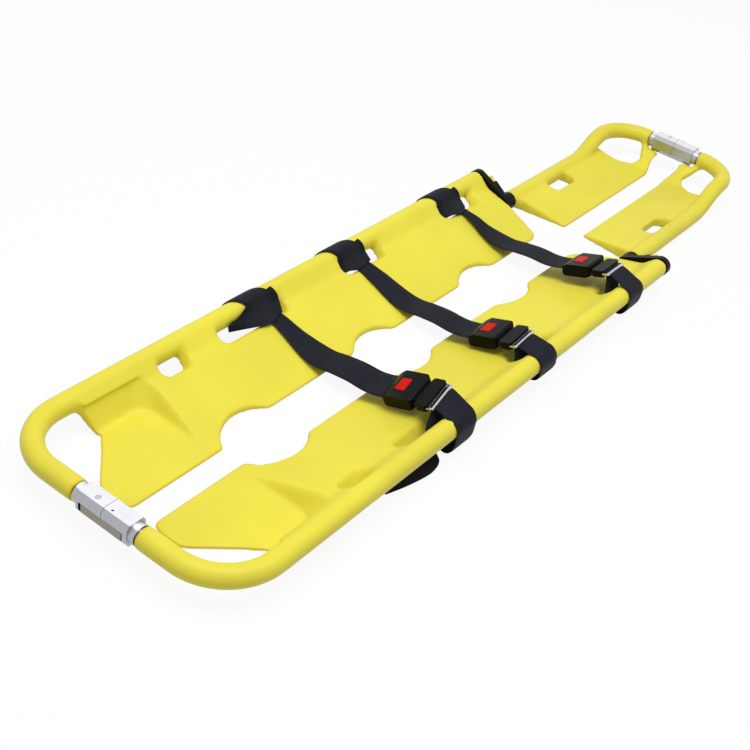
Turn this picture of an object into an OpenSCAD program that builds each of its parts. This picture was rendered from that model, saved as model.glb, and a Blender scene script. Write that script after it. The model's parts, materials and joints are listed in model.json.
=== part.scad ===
// Scoop stretcher: two moulded halves that part along the middle, each with a telescoping leg section.
// X runs from the head end (-X) to the foot end (+X), Y runs across with the left half at +Y,
// and Z runs up from the floor. All sizes are in millimetres.

/* [Rails and bows] */
// Distance from mid length to the axis of each end bow
bow_x = 808.5; // [800:0.5:830]
// Radius of the upper rail
rail_r = 17; // [16:0.25:18]
// Distance from the centreline to the upper rail axis
rail_y = 203; // [200:0.5:210]
// Height of the upper rail axis
rail_z = 46; // [44:0.5:49]
// Bend radius of the head bow corner
head_bend_r = 88; // [70:1:100]
// Radius of the leg rail
leg_rail_r = 16.5; // [15.5:0.25:17]
// Distance from the centreline to the leg rail axis
leg_rail_y = 139.4; // [136:0.2:141]
// Height of the leg rail axis
leg_rail_z = 17.5; // [17.1:0.1:18]
// Height of the foot bow axis
foot_bow_z = 51.7; // [48:0.1:56]
// Bend radius of the foot bow corner
foot_bend_r = 73.5; // [66:0.5:78]
// Length over which the leg rail climbs to the foot bow
climb_len = 100; // [85:1:115]

/* [Upper panel] */
// Place of the foot end of the upper panel
upper_end_x = 340; // [330:1:350]
// Gap from the head bow axis to the head edge of the panel
head_gap = 51.5; // [46:0.5:60]
// Where the head edge turns diagonally to the rail
head_turn_y = 75; // [65:1:85]
// Run of that diagonal along the stretcher
shoulder_run = 77; // [65:1:85]
// Where the diagonal ends
shoulder_y = 156; // [145:1:160]
// Flare of the head edge where it meets the rail
shoulder_flare = 14; // [8:1:18]
// Distance from the centreline to the inner edge beside the head
head_edge_y = 17.6; // [14:0.2:22]
// Distance from the centreline to the inner edge beside the torso
torso_edge_y = 37; // [33:0.5:39]
// Thickness of the inner edge
edge_thick = 5; // [4:0.25:6]
// Where the top starts to slope up to the rail
slope_start_y = 40; // [36:1:44]
// How far below the rail axis the slope ends
slope_drop = 5; // [4:0.5:8]
// Distance from the rail axis to the top of the slope
slope_back = 31; // [29:0.5:34]
// Where the flat underside ends
flat_under_y = 122; // [112:1:124]
// Radius of the rounded inner corner at the head
head_corner_r = 19; // [12:1:24]
// Slant of the foot end from the bracket to the inner corner
end_slant = 14; // [8:1:18]
// Where that slant starts
end_slant_y = 118; // [105:1:121]
// Radius of the rounded inner corner at the foot end
end_corner_r = 22; // [14:1:30]
// Places of the round notches in the inner edge
notch_x = [-507, -195, 108];
// Radius of the notches
notch_r = 70; // [60:1:75]
// How far the notches reach from the centreline
notch_reach = 60; // [54:1:66]
// Radius of the rounded corners beside the notches
notch_corner_r = 18; // [10:1:24]
// Height of the floor of the head dish
dish_floor = 6; // [5.5:0.25:8]
// Where the dish floor ends towards the torso
dish_end_x = -592; // [-605:1:-580]
// Where the dish floor ends towards the rail
dish_side_y = 163; // [155:1:166]
// Corner radius of the dish floor
dish_corner_r = 26; // [20:1:34]
// Spread of the dish walls
dish_wall_run = 22; // [18:1:25]

/* [Hand and strap holes] */
// Places of the hand hole and the three strap holes
hole_x = [-527, -351, -69.5, 222];
// Lengths of these holes
hole_len = [40, 138, 95, 88];
// Lengths of the ramps that lead down into these holes at their foot ends
ramp_len = [16, 12, 15, 26];
// Height at which the ramps end
ramp_low = 12; // [8:0.5:16]
// Distance from the rail axis to the inner rim of the holes
hole_reach = 44; // [42:0.5:46]
// Corner radius of the holes
hole_corner_r = 12; // [6:1:14]

/* [Leg panel] */
// Place of the near end of the leg panel
leg_start_x = 371; // [371:0.5:376]
// Slant of the near end from the rail to the inner corner
leg_start_slant = 15; // [8:1:20]
// Step back of the panel from the near end of its rail
leg_blade_gap = 9; // [5:0.5:14]
// Distance from the centreline to the inner edge of the leg panel
leg_edge_y = 20; // [17:0.5:24]
// Place where the leg panel turns up into the neck
neck_x = 738; // [730:1:745]
// Thickness of the leg panel where it meets its rail
leg_root_z = 25; // [22:0.5:27]
// Middle of the leg slot
leg_slot_x = 524; // [505:1:535]
// Length of the leg slot
leg_slot_len = 74; // [66:1:84]
// Distance from the centreline to the inner rim of the leg slot
leg_slot_y = 96; // [92:1:102]
// How far before the neck the foot grip starts
foot_grip_back = 18; // [12:1:26]
// Distance from the centreline to the inner side of the foot grip
foot_grip_y = 44; // [42:0.5:47]
// Corner radius of the foot grip
foot_grip_r = 24; // [16:1:28]

/* [Leg tube and bracket] */
// Radius of the leg tube
tube_r = 11; // [10:0.1:11.2]
// Wall of the leg tube
tube_wall = 2.5; // [2:0.1:3]
// Length of tube that runs in the upper panel
tube_in_panel = 420; // [400:5:430]
// Length of tube held in the leg rail
tube_in_leg = 200; // [150:5:240]
// Running clearance of the tube
tube_clear = 0.3; // [0.25:0.05:0.5]
// Wall of the tunnel around the tube
tunnel_wall = 2; // [1.6:0.1:2]
// Width of the groove along the tube
groove_w = 7; // [6.6:0.1:8]
// Depth of the groove
groove_depth = 1.4; // [1.2:0.1:1.6]
// Travel of the leg section
leg_travel = 360; // [320:5:365]
// Thickness of the bracket plate
bracket_thick = 12; // [8:0.5:14]
// Length of the bracket's tube boss
boss_len = 18; // [17.5:0.1:18.5]
// Radius of the bracket's tube boss
boss_r = 17; // [16:0.1:17.2]
// Length of the plug that holds the bracket in the rail end
plug_len = 24; // [16:1:30]
// Radius of that plug
plug_r = 11.5; // [10:0.1:13]
// Clearance between pieces that are fixed together
fixed_clear = 0.15; // [0.1:0.05:0.25]
// Radius of the bracket screw
screw_r = 3; // [2.5:0.25:4]
// Reach of the bracket screw into the rail
screw_len = 48; // [36:1:60]

/* [Length lock] */
// Angle of the lock pin above the floor
lock_angle = 34.3; // [30:0.1:38]
// Radius of the lock pin
pin_r = 3; // [2.5:0.1:3.1]
// Radius of the pin housing
housing_r = 8; // [7.5:0.1:8.4]
// Distance from the tube axis to the end of the housing
housing_end = 44; // [40:0.5:46]
// Clearance around the lock pin
pin_clear = 0.3; // [0.25:0.05:0.4]
// Radius of the lock knob
knob_r = 6.5; // [5.5:0.1:7.5]
// Length of the lock knob
knob_len = 14; // [12:0.5:18]

/* [Couplings] */
// Width of the coupling block
block_w = 34; // [32:0.5:36]
// Height of the coupling block
block_h = 36; // [34:0.5:38]
// Length of each half of the block
block_len = 46; // [44:0.5:50]
// Chamfer across the block edges
chamfer_w = 5; // [4:0.5:6]
// Chamfer down the block edges
chamfer_h = 8; // [6:0.5:9]
// Radius of the round collar
collar_r = 15.5; // [14:0.25:16]
// Length of the round collar
collar_len = 10; // [8:0.5:12]
// Radius of the spigot in the bow
spigot_r = 11.5; // [10.5:0.1:12]
// Length of the spigot
spigot_len = 24; // [18:1:26]
// Gap at the seam between the halves
seam_gap = 0.4; // [0.3:0.05:0.6]
// Width of the locating tongue
key_w = 10; // [8:0.5:10.5]
// Height of the locating tongue
key_h = 13; // [10:0.5:15]
// Length of the locating tongue
key_len = 27; // [20:1:30]
// Clearance around the locating tongue
key_clear = 0.4; // [0.3:0.05:0.6]
// Thickness of the release lever
lever_thick = 4.5; // [4:0.25:5]
// Height of the release lever
lever_h = 14; // [12:0.5:15]
// Reach of the lever past the seam, on the right half
lever_right = 36; // [32:0.5:37]
// Reach of the lever on the left half
lever_left = 37; // [34:0.5:38]
// Distance of the lever pivot from the seam
pivot_y = 19; // [17:0.5:21]
// Radius of the lever pivot
pivot_r = 2.5; // [2:0.1:2.8]

/* [Straps] */
// Places of the straps at the left rail
strap_x = [-320, -90, 206];
// Places of the buckles
buckle_x = [-318, -84, 216];
// Roll of the buckles, with the side towards the foot end up
buckle_roll = [16, 5, 0];
// How much higher each buckle lies than the lowest one
buckle_lift = [6, 0, 8];
// Width of the webbing
web_w = 50; // [46:0.5:52]
// Thickness of the webbing
web_t = 2; // [1.6:0.1:2.4]
// Clearance between webbing and what it lies on
web_clear = 0.35; // [0.3:0.05:0.5]
// Distance from the left rail axis to the neck of the left loop
neck_back = 47; // [45:0.5:50]
// Tilt of the buckles
buckle_tilt = 20; // [18:0.5:21]
// Length of the buckle body
buckle_len = 56; // [52:0.5:60]
// Width of the buckle body
buckle_w = 60; // [58:0.5:64]
// Thickness of the buckle body
buckle_t = 22; // [21:0.5:24]
// Depth of the tongue in the buckle
tongue_depth = 11; // [9:0.5:12]
// Thickness of the tongue plate
tongue_t = 3; // [2.5:0.1:3.2]
// Width of the tongue blade
blade_w = 34; // [28:0.5:40]
// Length of the tongue cover
cover_len = 23; // [20:0.5:26]
// Thickness of the tongue cover
cover_t = 12; // [10:0.5:13]
// Length of the red button
button_len = 18; // [14:0.5:20]
// Width of the red button
button_w = 26; // [20:0.5:30]

/* [Hidden] */
$fn = 48;

// Colours of the finishes
yellow = [0.93, 0.87, 0.25];
aluminium = [0.85, 0.86, 0.88];
black = [0.10, 0.10, 0.11];
webbing_blue = [0.13, 0.13, 0.17];
chrome = [0.78, 0.79, 0.80];
red = [0.83, 0.12, 0.08];

// Small overlap that keeps cuts open past a face
past = 1;

// Derived places of the frame
head_edge_x = -bow_x + head_gap;
coupling_end = block_len + collar_len;
slope_end_y = rail_y - slope_back;
slope_end_z = rail_z - slope_drop;
rail_join_angle = 124;
dish_under_x = dish_end_x + dish_wall_run + 8;
dish_under_y = dish_side_y + 2.5;
panel_lip_y = min(head_edge_y, leg_edge_y) - 8;
climb_rise = foot_bow_z - leg_rail_z;
foot_bend_x = bow_x - foot_bend_r;
climb_end_x = foot_bend_x - 2;
climb_steps = 10;
rail_sides = 28;
leg_blade_y = leg_rail_y - 3;
foot_grip_x = neck_x - foot_grip_back;
neck_end_x = bow_x - 7;
neck_stop_x = bow_x - block_w / 2 - 1;
bracket_face_x = upper_end_x + bracket_thick;
lock_x = bracket_face_x + boss_len / 2;
tube_start_x = upper_end_x - tube_in_panel;
tube_end_x = leg_start_x + tube_in_leg;
tube_plug_head = 5;
tube_bore_r = tube_r + tube_clear;
tunnel_r = tube_bore_r + tunnel_wall;
tunnel_end_x = tube_start_x - tube_plug_head - 8;

// Derived places of the length lock, measured out from the tube axis
chamber_r = housing_r - 2;
chamber_start = boss_r + 5;
cap_len = 3;
pin_tip = tube_r - groove_depth + 0.4;
pin_collar_len = 2.5;
pin_collar_start = chamber_start + 0.4;
spring_seat = 0.3;
knob_start = housing_end + 0.6;
knob_bore = 10;

// Derived places of the couplings
key_x = 3.5;
pivot_x = -3.5;
eye_r = 4;
arm_h = 6;
lever_z = -12;
arm_z = lever_z + (lever_h - arm_h) / 2;
lever_x = -block_w / 2 + 0.5;
lever_clear = 0.8;
lever_swing_room = 4;
lever_spring_y = pivot_y + 12.5;
lever_spring_z = arm_z + arm_h / 2;
pivot_head_r = 4;
pivot_head_h = 1;
pivot_clear = 0.1;

// Derived places of the straps, with the webbing's route across the panels as [y, z]
loop_in_r = rail_r + web_clear;
loop_out_r = loop_in_r + web_t;
left_neck = [rail_y - neck_back, rail_z - 0.5];
left_neck_r = 0.5;
buckle_entry = [-84, 37];
web_route = [
    [140, 40.5], [124, 33], [100, 25.5], [74, 19], [47, 17.5],
    [16, 23], [-15, 27], [-45, 27.5], [-66, 31]
];
web_in_buckle = 12;
mouth_room = tongue_depth * sin(buckle_tilt) + 0.8;
tongue_start = buckle_len - tongue_depth;
cover_start = buckle_len + 5;
window_start = cover_start + cover_len + 1.5;
window_len = 5;
bar_len = 3.5;
tongue_end = window_start + window_len + bar_len;
bar_in_r = norm([bar_len, tongue_t]) / 2 + web_clear;
bar_s = tongue_end - bar_len / 2;
bar_place = [buckle_entry[0] - bar_s * cos(buckle_tilt), buckle_entry[1] + bar_s * sin(buckle_tilt)];
hang_place = [-rail_y - 1, 22];
hang_in_r = 10;
loop_step = 7.5;
button_start = web_in_buckle + 4;
button_proud = 0.8;
button_body_h = 6.8;
pocket_floor = -5;
pocket_clear = 0.4;
tail_y = -(rail_y + rail_r / 2 - web_w / 2);
tail_top = hang_place[1] - hang_in_r - web_t * 1.5 - web_clear;
tail_route = [[-4, tail_top], [-26, tail_top], [-48, 5], [-72, 1.7], [-100, 1.2], [-146, 1.2]];

// Helpers that lay a flat shape or a rod along one of the axes

module along_x(x0, x1) {
    translate([x0, 0, 0]) rotate([90, 0, 90]) linear_extrude(x1 - x0) children();
}

module along_y(y0, y1) {
    translate([0, y1, 0]) rotate([90, 0, 0]) linear_extrude(y1 - y0) children();
}

module rod_x(x0, x1, y, z, r) {
    translate([x0, y, z]) rotate([0, 90, 0]) cylinder(r = r, h = x1 - x0);
}

module rod_y(x, y0, y1, z, r) {
    translate([x, y0, z]) rotate([-90, 0, 0]) cylinder(r = r, h = y1 - y0);
}

module block(x0, x1, y0, y1, z0, z1) {
    translate([x0, y0, z0]) cube([x1 - x0, y1 - y0, z1 - z0]);
}

module quarter_bend(x, y, z, bend_r, r, turn) {
    translate([x, y, z]) rotate([0, 0, turn]) rotate_extrude(angle = 90) translate([bend_r, 0]) circle(r);
}

module round_rect(x0, x1, y0, y1, r) {
    translate([x0 + r, y0]) square([x1 - x0 - 2 * r, y1 - y0]);
    translate([x0, y0 + r]) square([x1 - x0, y1 - y0 - 2 * r]);
    for (x = [x0 + r, x1 - r], y = [y0 + r, y1 - r]) translate([x, y]) circle(r);
}

module right_side() {
    mirror([0, 1, 0]) children();
}

// Outline around two circles and their outer tangents
module two_circle_outline(c1, r1, c2, r2) {
    apart = c2 - c1;
    heading = atan2(apart[1], apart[0]);
    spread = acos((r1 - r2) / norm(apart));
    up = [cos(heading + spread), sin(heading + spread)];
    down = [cos(heading - spread), sin(heading - spread)];
    translate(c1) circle(r1);
    translate(c2) circle(r2);
    polygon([c1 + r1 * up, c1 + r1 * down, c2 + r2 * down, c2 + r2 * up]);
}

// Closed skin over a list of rings that all have the same number of points
module ring_skin(rings) {
    count = len(rings);
    sides = len(rings[0]);
    points = [for (ring = rings) each ring];
    start_cap = [for (k = [1 : sides - 2]) [0, k, k + 1]];
    last = (count - 1) * sides;
    end_cap = [for (k = [1 : sides - 2]) [last, last + k + 1, last + k]];
    walls = [
        for (i = [0 : count - 2], k = [0 : sides - 1])
            let (a = i * sides + k, b = i * sides + (k + 1) % sides)
            each [[b, a, a + sides], [b, a + sides, b + sides]]
    ];
    polyhedron(points, concat(start_cap, walls, end_cap), convexity = 6);
}

// Flat band along a path; the direction of its width is given at every point
module ribbon(path, width, thick, across) {
    last = len(path) - 1;
    function heading(i) = path[min(i + 1, last)] - path[max(i - 1, 0)];
    function upright(i) = cross(heading(i), across[i]) / norm(cross(heading(i), across[i]));
    rings = [
        for (i = [0 : last])
            let (w = across[i] * width / 2, n = upright(i) * thick / 2)
            [path[i] - w - n, path[i] + w - n, path[i] + w + n, path[i] - w + n]
    ];
    ring_skin(rings);
}

// Coil spring along Z, as one unbroken wire
module coil_spring(z0, z1, coil_r, wire_r, turns) {
    rings_per_turn = 8;
    sides = 6;
    steps = turns * rings_per_turn;
    climb = z1 - z0 - 2 * wire_r;
    least_gap = climb / turns - 2 * wire_r;
    echo(str("least gap between curls: ", least_gap));
    rings = [
        for (i = [0 : steps])
            let (
                turn = 360 * i / rings_per_turn,
                outward = [cos(turn), sin(turn), 0],
                middle = coil_r * outward + [0, 0, z0 + wire_r + climb * i / steps]
            )
            [for (k = [0 : sides - 1])
                middle + wire_r * (cos(360 * k / sides) * [0, 0, 1] + sin(360 * k / sides) * outward)]
    ];
    ring_skin(rings);
}

// Upper panel: rail, half of the head bow, and the thin blade with its holes, notches and head dish

module upper_section(under_y) {
    rail_join = [rail_y, rail_z] + rail_r * [cos(rail_join_angle), sin(rail_join_angle)];
    polygon([
        [panel_lip_y, 0], [panel_lip_y, edge_thick], [slope_start_y, edge_thick],
        [slope_end_y, slope_end_z], rail_join, [rail_y, rail_z + rail_r / 2], [rail_y, rail_z - rail_r * 0.7],
        [rail_y - rail_r * 0.75, rail_z - rail_r], [under_y, 0]
    ]);
}

// Sliver that rounds the corner between a notch and the inner edge, on the side given by -1 or 1
module notch_corner(x, edge_y, side) {
    notch = [x, notch_reach - notch_r];
    rise = edge_y + notch_corner_r - notch[1];
    middle = notch + [side * sqrt(pow(notch_r + notch_corner_r, 2) - pow(rise, 2)), rise];
    touch = notch + (middle - notch) * notch_r / (notch_r + notch_corner_r);
    difference() {
        polygon([middle, touch, [touch[0], edge_y - past], [middle[0], edge_y - past]]);
        translate(middle) circle(notch_corner_r);
    }
}

module upper_outline() {
    shoulder_x = head_edge_x + shoulder_run;
    flare_x = shoulder_x - shoulder_flare;
    flare_y = rail_y - rail_r * 0.8;
    end_corner = [upper_end_x - end_slant - end_corner_r, torso_edge_y + end_corner_r];
    slant_turn = atan2(end_slant, end_slant_y - end_corner[1]);
    difference() {
        union() {
            polygon([
                [head_edge_x, head_edge_y + head_corner_r], [head_edge_x, head_turn_y],
                [shoulder_x, shoulder_y], [flare_x, flare_y],
                [flare_x, rail_y], [upper_end_x, rail_y], [upper_end_x, end_slant_y],
                end_corner + end_corner_r * [cos(slant_turn), -sin(slant_turn)],
                [end_corner[0], torso_edge_y], [notch_x[0], torso_edge_y], [notch_x[0], head_edge_y],
                [head_edge_x + head_corner_r, head_edge_y]
            ]);
            translate([head_edge_x + head_corner_r, head_edge_y + head_corner_r]) circle(head_corner_r);
            translate(end_corner) circle(end_corner_r);
        }
        for (x = notch_x) {
            translate([x, notch_reach - notch_r]) circle(notch_r);
            notch_corner(x, x == notch_x[0] ? head_edge_y : torso_edge_y, -1);
            notch_corner(x, torso_edge_y, 1);
        }
    }
}

module upper_holes() {
    for (i = [0 : len(hole_x) - 1])
        round_rect(hole_x[i] - hole_len[i] / 2, hole_x[i] + hole_len[i] / 2,
            rail_y - hole_reach, rail_y + 2 * hole_corner_r, hole_corner_r);
}

// Ramp cut at the foot end of one hole
module hole_ramp(i) {
    start = hole_x[i] + hole_len[i] / 2;
    top = rail_z + rail_r;
    rise = (slope_end_z - ramp_low) / ramp_len[i];
    along_y(rail_y - hole_reach, rail_y) polygon([
        [start - hole_corner_r, ramp_low], [start, ramp_low],
        [start + (top - ramp_low) / rise, top], [start - hole_corner_r, top]
    ]);
}

module dish_plate(z, spread) {
    corner = [dish_end_x + spread - dish_corner_r, dish_side_y + spread - dish_corner_r];
    translate([0, 0, z]) linear_extrude(0.1) {
        translate([-bow_x, -rail_y]) square([corner[0] + bow_x, corner[1] + dish_corner_r + rail_y]);
        translate([-bow_x, -rail_y]) square([corner[0] + dish_corner_r + bow_x, corner[1] + rail_y]);
        translate(corner) circle(dish_corner_r, $fn = 32);
    }
}

module head_dish() {
    hull() {
        dish_plate(dish_floor, 0);
        dish_plate(rail_z, dish_wall_run);
    }
}

module upper_blade() {
    difference() {
        intersection() {
            union() {
                along_x(-bow_x, upper_end_x + past) upper_section(flat_under_y);
                along_x(-bow_x, dish_under_x) upper_section(dish_under_y);
            }
            translate([0, 0, -past]) linear_extrude(rail_z + rail_r) difference() {
                upper_outline();
                upper_holes();
            }
        }
        head_dish();
        for (i = [0 : len(hole_x) - 1]) hole_ramp(i);
    }
}

module upper_rail() {
    rod_x(-bow_x + head_bend_r, upper_end_x, rail_y, rail_z, rail_r);
    quarter_bend(-bow_x + head_bend_r, rail_y - head_bend_r, rail_z, head_bend_r, rail_r, 90);
    rod_y(-bow_x, coupling_end, rail_y - head_bend_r, rail_z, rail_r);
}

module upper_panel() {
    color(yellow) difference() {
        union() {
            upper_blade();
            upper_rail();
            rod_x(tunnel_end_x, upper_end_x, leg_rail_y, leg_rail_z, tunnel_r);
        }
        rod_x(tunnel_end_x + 4, upper_end_x + past, leg_rail_y, leg_rail_z, tube_bore_r);
        rod_x(upper_end_x - plug_len - past, upper_end_x + past, rail_y, rail_z, plug_r + fixed_clear);
        rod_x(bracket_face_x - screw_len - past, upper_end_x, rail_y, rail_z, screw_r + fixed_clear);
        rod_y(-bow_x, coupling_end - past, coupling_end + spigot_len + past, rail_z, spigot_r + fixed_clear);
    }
}

// Leg panel: lower rail that climbs to the foot bow, and a blade with a slot, a grip and a rising neck

module leg_section() {
    polygon([
        [panel_lip_y, 0], [panel_lip_y, edge_thick], [leg_edge_y, edge_thick],
        [leg_rail_y - leg_rail_r * 0.8, leg_root_z], [leg_blade_y, leg_root_z + 1.5],
        [leg_blade_y, leg_rail_z - leg_rail_r * 0.8], [leg_rail_y - leg_rail_r / 2, 0]
    ]);
}

module leg_outline() {
    difference() {
        polygon([
            [leg_start_x + leg_blade_gap, leg_rail_y],
            [leg_start_x + leg_blade_gap + leg_start_slant, leg_edge_y],
            [neck_x, leg_edge_y], [neck_x, leg_rail_y]
        ]);
        round_rect(foot_grip_x, bow_x, foot_grip_y, leg_rail_y + 2 * foot_grip_r, foot_grip_r);
        round_rect(leg_slot_x - leg_slot_len / 2, leg_slot_x + leg_slot_len / 2,
            leg_slot_y, leg_rail_y + 2 * hole_corner_r, hole_corner_r);
    }
}

module neck_outline() {
    polygon([
        [neck_x - 25, leg_edge_y], [neck_x + 6, leg_edge_y], [neck_x + 32, leg_edge_y + 14],
        [neck_stop_x, block_len - 4], [neck_stop_x, coupling_end + 1], [neck_end_x, coupling_end + 1],
        [neck_end_x, coupling_end + 16], [neck_x + 36, foot_grip_y + 14], [neck_x + 12, foot_grip_y],
        [neck_x - 25, foot_grip_y]
    ]);
}

module neck_profile() {
    polygon([
        [neck_x - 25, 0], [neck_x - 25, edge_thick], [neck_x + 3, edge_thick + 4],
        [neck_end_x, foot_bow_z - 8], [neck_end_x, foot_bow_z - 18], [neck_x + 16, 1], [neck_x + 3, 0]
    ]);
}

module leg_blade() {
    intersection() {
        along_x(leg_start_x - past, neck_x + past) leg_section();
        translate([0, 0, -past]) linear_extrude(foot_bow_z) leg_outline();
    }
    intersection() {
        along_y(0, rail_y) neck_profile();
        translate([0, 0, -past]) linear_extrude(foot_bow_z + rail_r) neck_outline();
    }
}

// Points of the leg rail's axis: straight, a soft climb, the corner of the foot bow, and along the bow
function leg_rail_path() = concat(
    [[leg_start_x, leg_rail_y, leg_rail_z]],
    [
        for (k = [0 : climb_steps])
            [climb_end_x - climb_len * (1 - k / climb_steps), leg_rail_y,
                leg_rail_z + climb_rise * (1 - cos(180 * k / climb_steps)) / 2]
    ],
    [
        for (turn = [0 : 9 : 90])
            [foot_bend_x + foot_bend_r * sin(turn), leg_rail_y - foot_bend_r * (1 - cos(turn)), foot_bow_z]
    ],
    [[bow_x, coupling_end, foot_bow_z]]
);

// Ring of points around one place of a path
function rail_ring(path, i, r) =
    let (
        heading = path[min(i + 1, len(path) - 1)] - path[max(i - 1, 0)],
        side = cross([0, 0, 1], heading) / norm(cross([0, 0, 1], heading)),
        up = cross(heading, side) / norm(heading)
    )
    [for (k = [0 : rail_sides - 1]) path[i] + r * (cos(360 * k / rail_sides) * side + sin(360 * k / rail_sides) * up)];

module leg_rail() {
    path = leg_rail_path();
    ring_skin([for (i = [0 : len(path) - 1]) rail_ring(path, i, leg_rail_r)]);
}

module leg_panel() {
    color(yellow) difference() {
        union() {
            leg_blade();
            leg_rail();
        }
        rod_x(leg_start_x - past, tube_end_x + past, leg_rail_y, leg_rail_z, tube_r + fixed_clear);
        rod_y(bow_x, coupling_end - past, coupling_end + spigot_len + past, foot_bow_z, spigot_r + fixed_clear);
    }
}

// Leg tube with its groove, the two lock holes and the glide plug in its inner end

module facing_lock(x) {
    translate([x, leg_rail_y, leg_rail_z]) rotate([lock_angle - 90, 0, 0]) children();
}

module leg_tube() {
    groove_start = lock_x - leg_travel - pin_r - past;
    color(aluminium) difference() {
        rod_x(tube_start_x, tube_end_x, leg_rail_y, leg_rail_z, tube_r);
        rod_x(tube_start_x - past, tube_end_x + past, leg_rail_y, leg_rail_z, tube_r - tube_wall);
        facing_lock(0) block(groove_start, leg_start_x, -groove_w / 2, groove_w / 2,
            tube_r - groove_depth, tube_r + past);
        for (x = [lock_x, lock_x - leg_travel])
            facing_lock(x) cylinder(r = pin_r + pin_clear, h = tube_r);
    }
}

module tube_plug() {
    color(black) {
        rod_x(tube_start_x - tube_plug_head, tube_start_x, leg_rail_y, leg_rail_z, tube_r);
        rod_x(tube_start_x, tube_start_x + 16, leg_rail_y, leg_rail_z, tube_r - tube_wall - fixed_clear);
    }
}

// End bracket: plate, rail plug, tube boss and the slanted housing of the lock pin

module bracket() {
    color(black) difference() {
        union() {
            along_x(upper_end_x, bracket_face_x)
                two_circle_outline([leg_rail_y, leg_rail_z], boss_r, [rail_y, rail_z], rail_r + 0.5);
            rod_x(upper_end_x, bracket_face_x + boss_len, leg_rail_y, leg_rail_z, boss_r);
            rod_x(upper_end_x - plug_len, upper_end_x, rail_y, rail_z, plug_r);
            facing_lock(lock_x) cylinder(r = housing_r, h = housing_end);
        }
        rod_x(upper_end_x - past, bracket_face_x + boss_len + past, leg_rail_y, leg_rail_z, tube_bore_r);
        rod_x(upper_end_x - plug_len - past, bracket_face_x + past, rail_y, rail_z, screw_r + fixed_clear);
        facing_lock(lock_x) {
            cylinder(r = pin_r + pin_clear, h = housing_end);
            translate([0, 0, chamber_start]) cylinder(r = chamber_r, h = housing_end);
        }
    }
}

module bracket_screw() {
    head_h = 3.5;
    color(aluminium) difference() {
        union() {
            rod_x(bracket_face_x - screw_len, bracket_face_x, rail_y, rail_z, screw_r);
            rod_x(bracket_face_x, bracket_face_x + head_h, rail_y, rail_z, screw_r * 1.9);
        }
        translate([bracket_face_x + head_h / 2, rail_y, rail_z]) rotate([0, 90, 0])
            cylinder(r = screw_r * 0.8, h = head_h, $fn = 6);
    }
}

// Length lock: sprung pin, its cap and the pull knob

module lock_pin() {
    color(chrome) facing_lock(lock_x) {
        translate([0, 0, pin_tip]) cylinder(r = pin_r, h = knob_start + knob_bore - pin_tip);
        translate([0, 0, pin_collar_start]) cylinder(r = chamber_r - 0.5, h = pin_collar_len);
    }
}

module lock_spring() {
    color(chrome) facing_lock(lock_x)
        coil_spring(pin_collar_start + pin_collar_len + spring_seat, housing_end - cap_len - spring_seat,
            (pin_r + chamber_r) / 2 + 0.1, 0.5, 5);
}

module lock_cap() {
    color(black) facing_lock(lock_x) difference() {
        translate([0, 0, housing_end - cap_len]) cylinder(r = chamber_r - fixed_clear, h = cap_len);
        cylinder(r = pin_r + pin_clear, h = housing_end + past);
    }
}

module lock_knob() {
    waist = knob_r - 1.3;
    color(yellow) facing_lock(lock_x) difference() {
        translate([0, 0, knob_start]) rotate_extrude() polygon([
            [0, 0], [knob_r - 0.6, 0], [knob_r, 0.6], [knob_r, 3], [waist, 4.5], [waist, knob_len - 5],
            [knob_r, knob_len - 3.5], [knob_r, knob_len - 1.2], [knob_r - 1.2, knob_len], [0, knob_len]
        ]);
        translate([0, 0, knob_start - past]) cylinder(r = pin_r + fixed_clear, h = knob_bore + past + 0.2);
    }
}

// Coupling: the left half holds the lever, the right half carries the locating key.
// Both are drawn around the bow axis with the outer face at -X.

module at_head() {
    translate([-bow_x, 0, rail_z]) children();
}

module at_foot() {
    translate([bow_x, 0, foot_bow_z]) mirror([1, 0, 0]) children();
}

module block_profile() {
    w = block_w / 2;
    h = block_h / 2;
    polygon([
        [-w, -h + chamfer_h], [-w, h - chamfer_h], [-w + chamfer_w, h], [w - chamfer_w, h],
        [w, h - chamfer_h], [w, -h + chamfer_h], [w - chamfer_w, -h], [-w + chamfer_w, -h]
    ]);
}

module coupling_half() {
    along_y(seam_gap / 2, block_len) block_profile();
    rod_y(0, block_len, coupling_end, 0, collar_r);
    rod_y(0, coupling_end, coupling_end + spigot_len, 0, spigot_r);
}

module lever_spring_pocket() {
    rod_x(lever_x + lever_thick, pivot_x + 2.5, lever_spring_y, lever_spring_z, 3.2);
}

module socket_half() {
    outer = -block_w / 2 - past;
    color(aluminium) difference() {
        coupling_half();
        block(key_x - key_clear, key_x + key_w + key_clear, -past, key_len + past,
            -key_h / 2 - key_clear, key_h / 2 + key_clear);
        block(outer, lever_x + lever_thick + lever_swing_room, -past, lever_left + lever_swing_room,
            lever_z - lever_clear, lever_z + lever_h + lever_clear);
        block(outer, pivot_x + eye_r + 0.5, pivot_y - eye_r - 2, pivot_y + eye_r + 2.5,
            arm_z - 0.4, arm_z + arm_h + 0.4);
        translate([pivot_x, pivot_y, -block_h / 2 - past])
            cylinder(r = pivot_r + pivot_clear, h = block_h + 2 * past);
        translate([pivot_x, pivot_y, block_h / 2 - pivot_head_h - 0.1])
            cylinder(r = pivot_head_r + fixed_clear, h = pivot_head_h + past);
        lever_spring_pocket();
    }
}

module key_half() {
    outer = -block_w / 2 - past;
    color(aluminium) difference() {
        union() {
            mirror([0, 1, 0]) coupling_half();
            block(key_x, key_x + key_w, -seam_gap, key_len, -key_h / 2, key_h / 2);
        }
        block(outer, lever_x + lever_thick + 0.7, -lever_right - 2, past,
            lever_z - lever_clear, lever_z + lever_h + lever_clear);
        block(outer, lever_x + lever_thick + 4.6, -18, past, arm_z - 0.6, arm_z + arm_h + 0.6);
        translate([pivot_x * 2, -11, 0]) cylinder(r = 1.6, h = block_h);
    }
}

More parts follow.
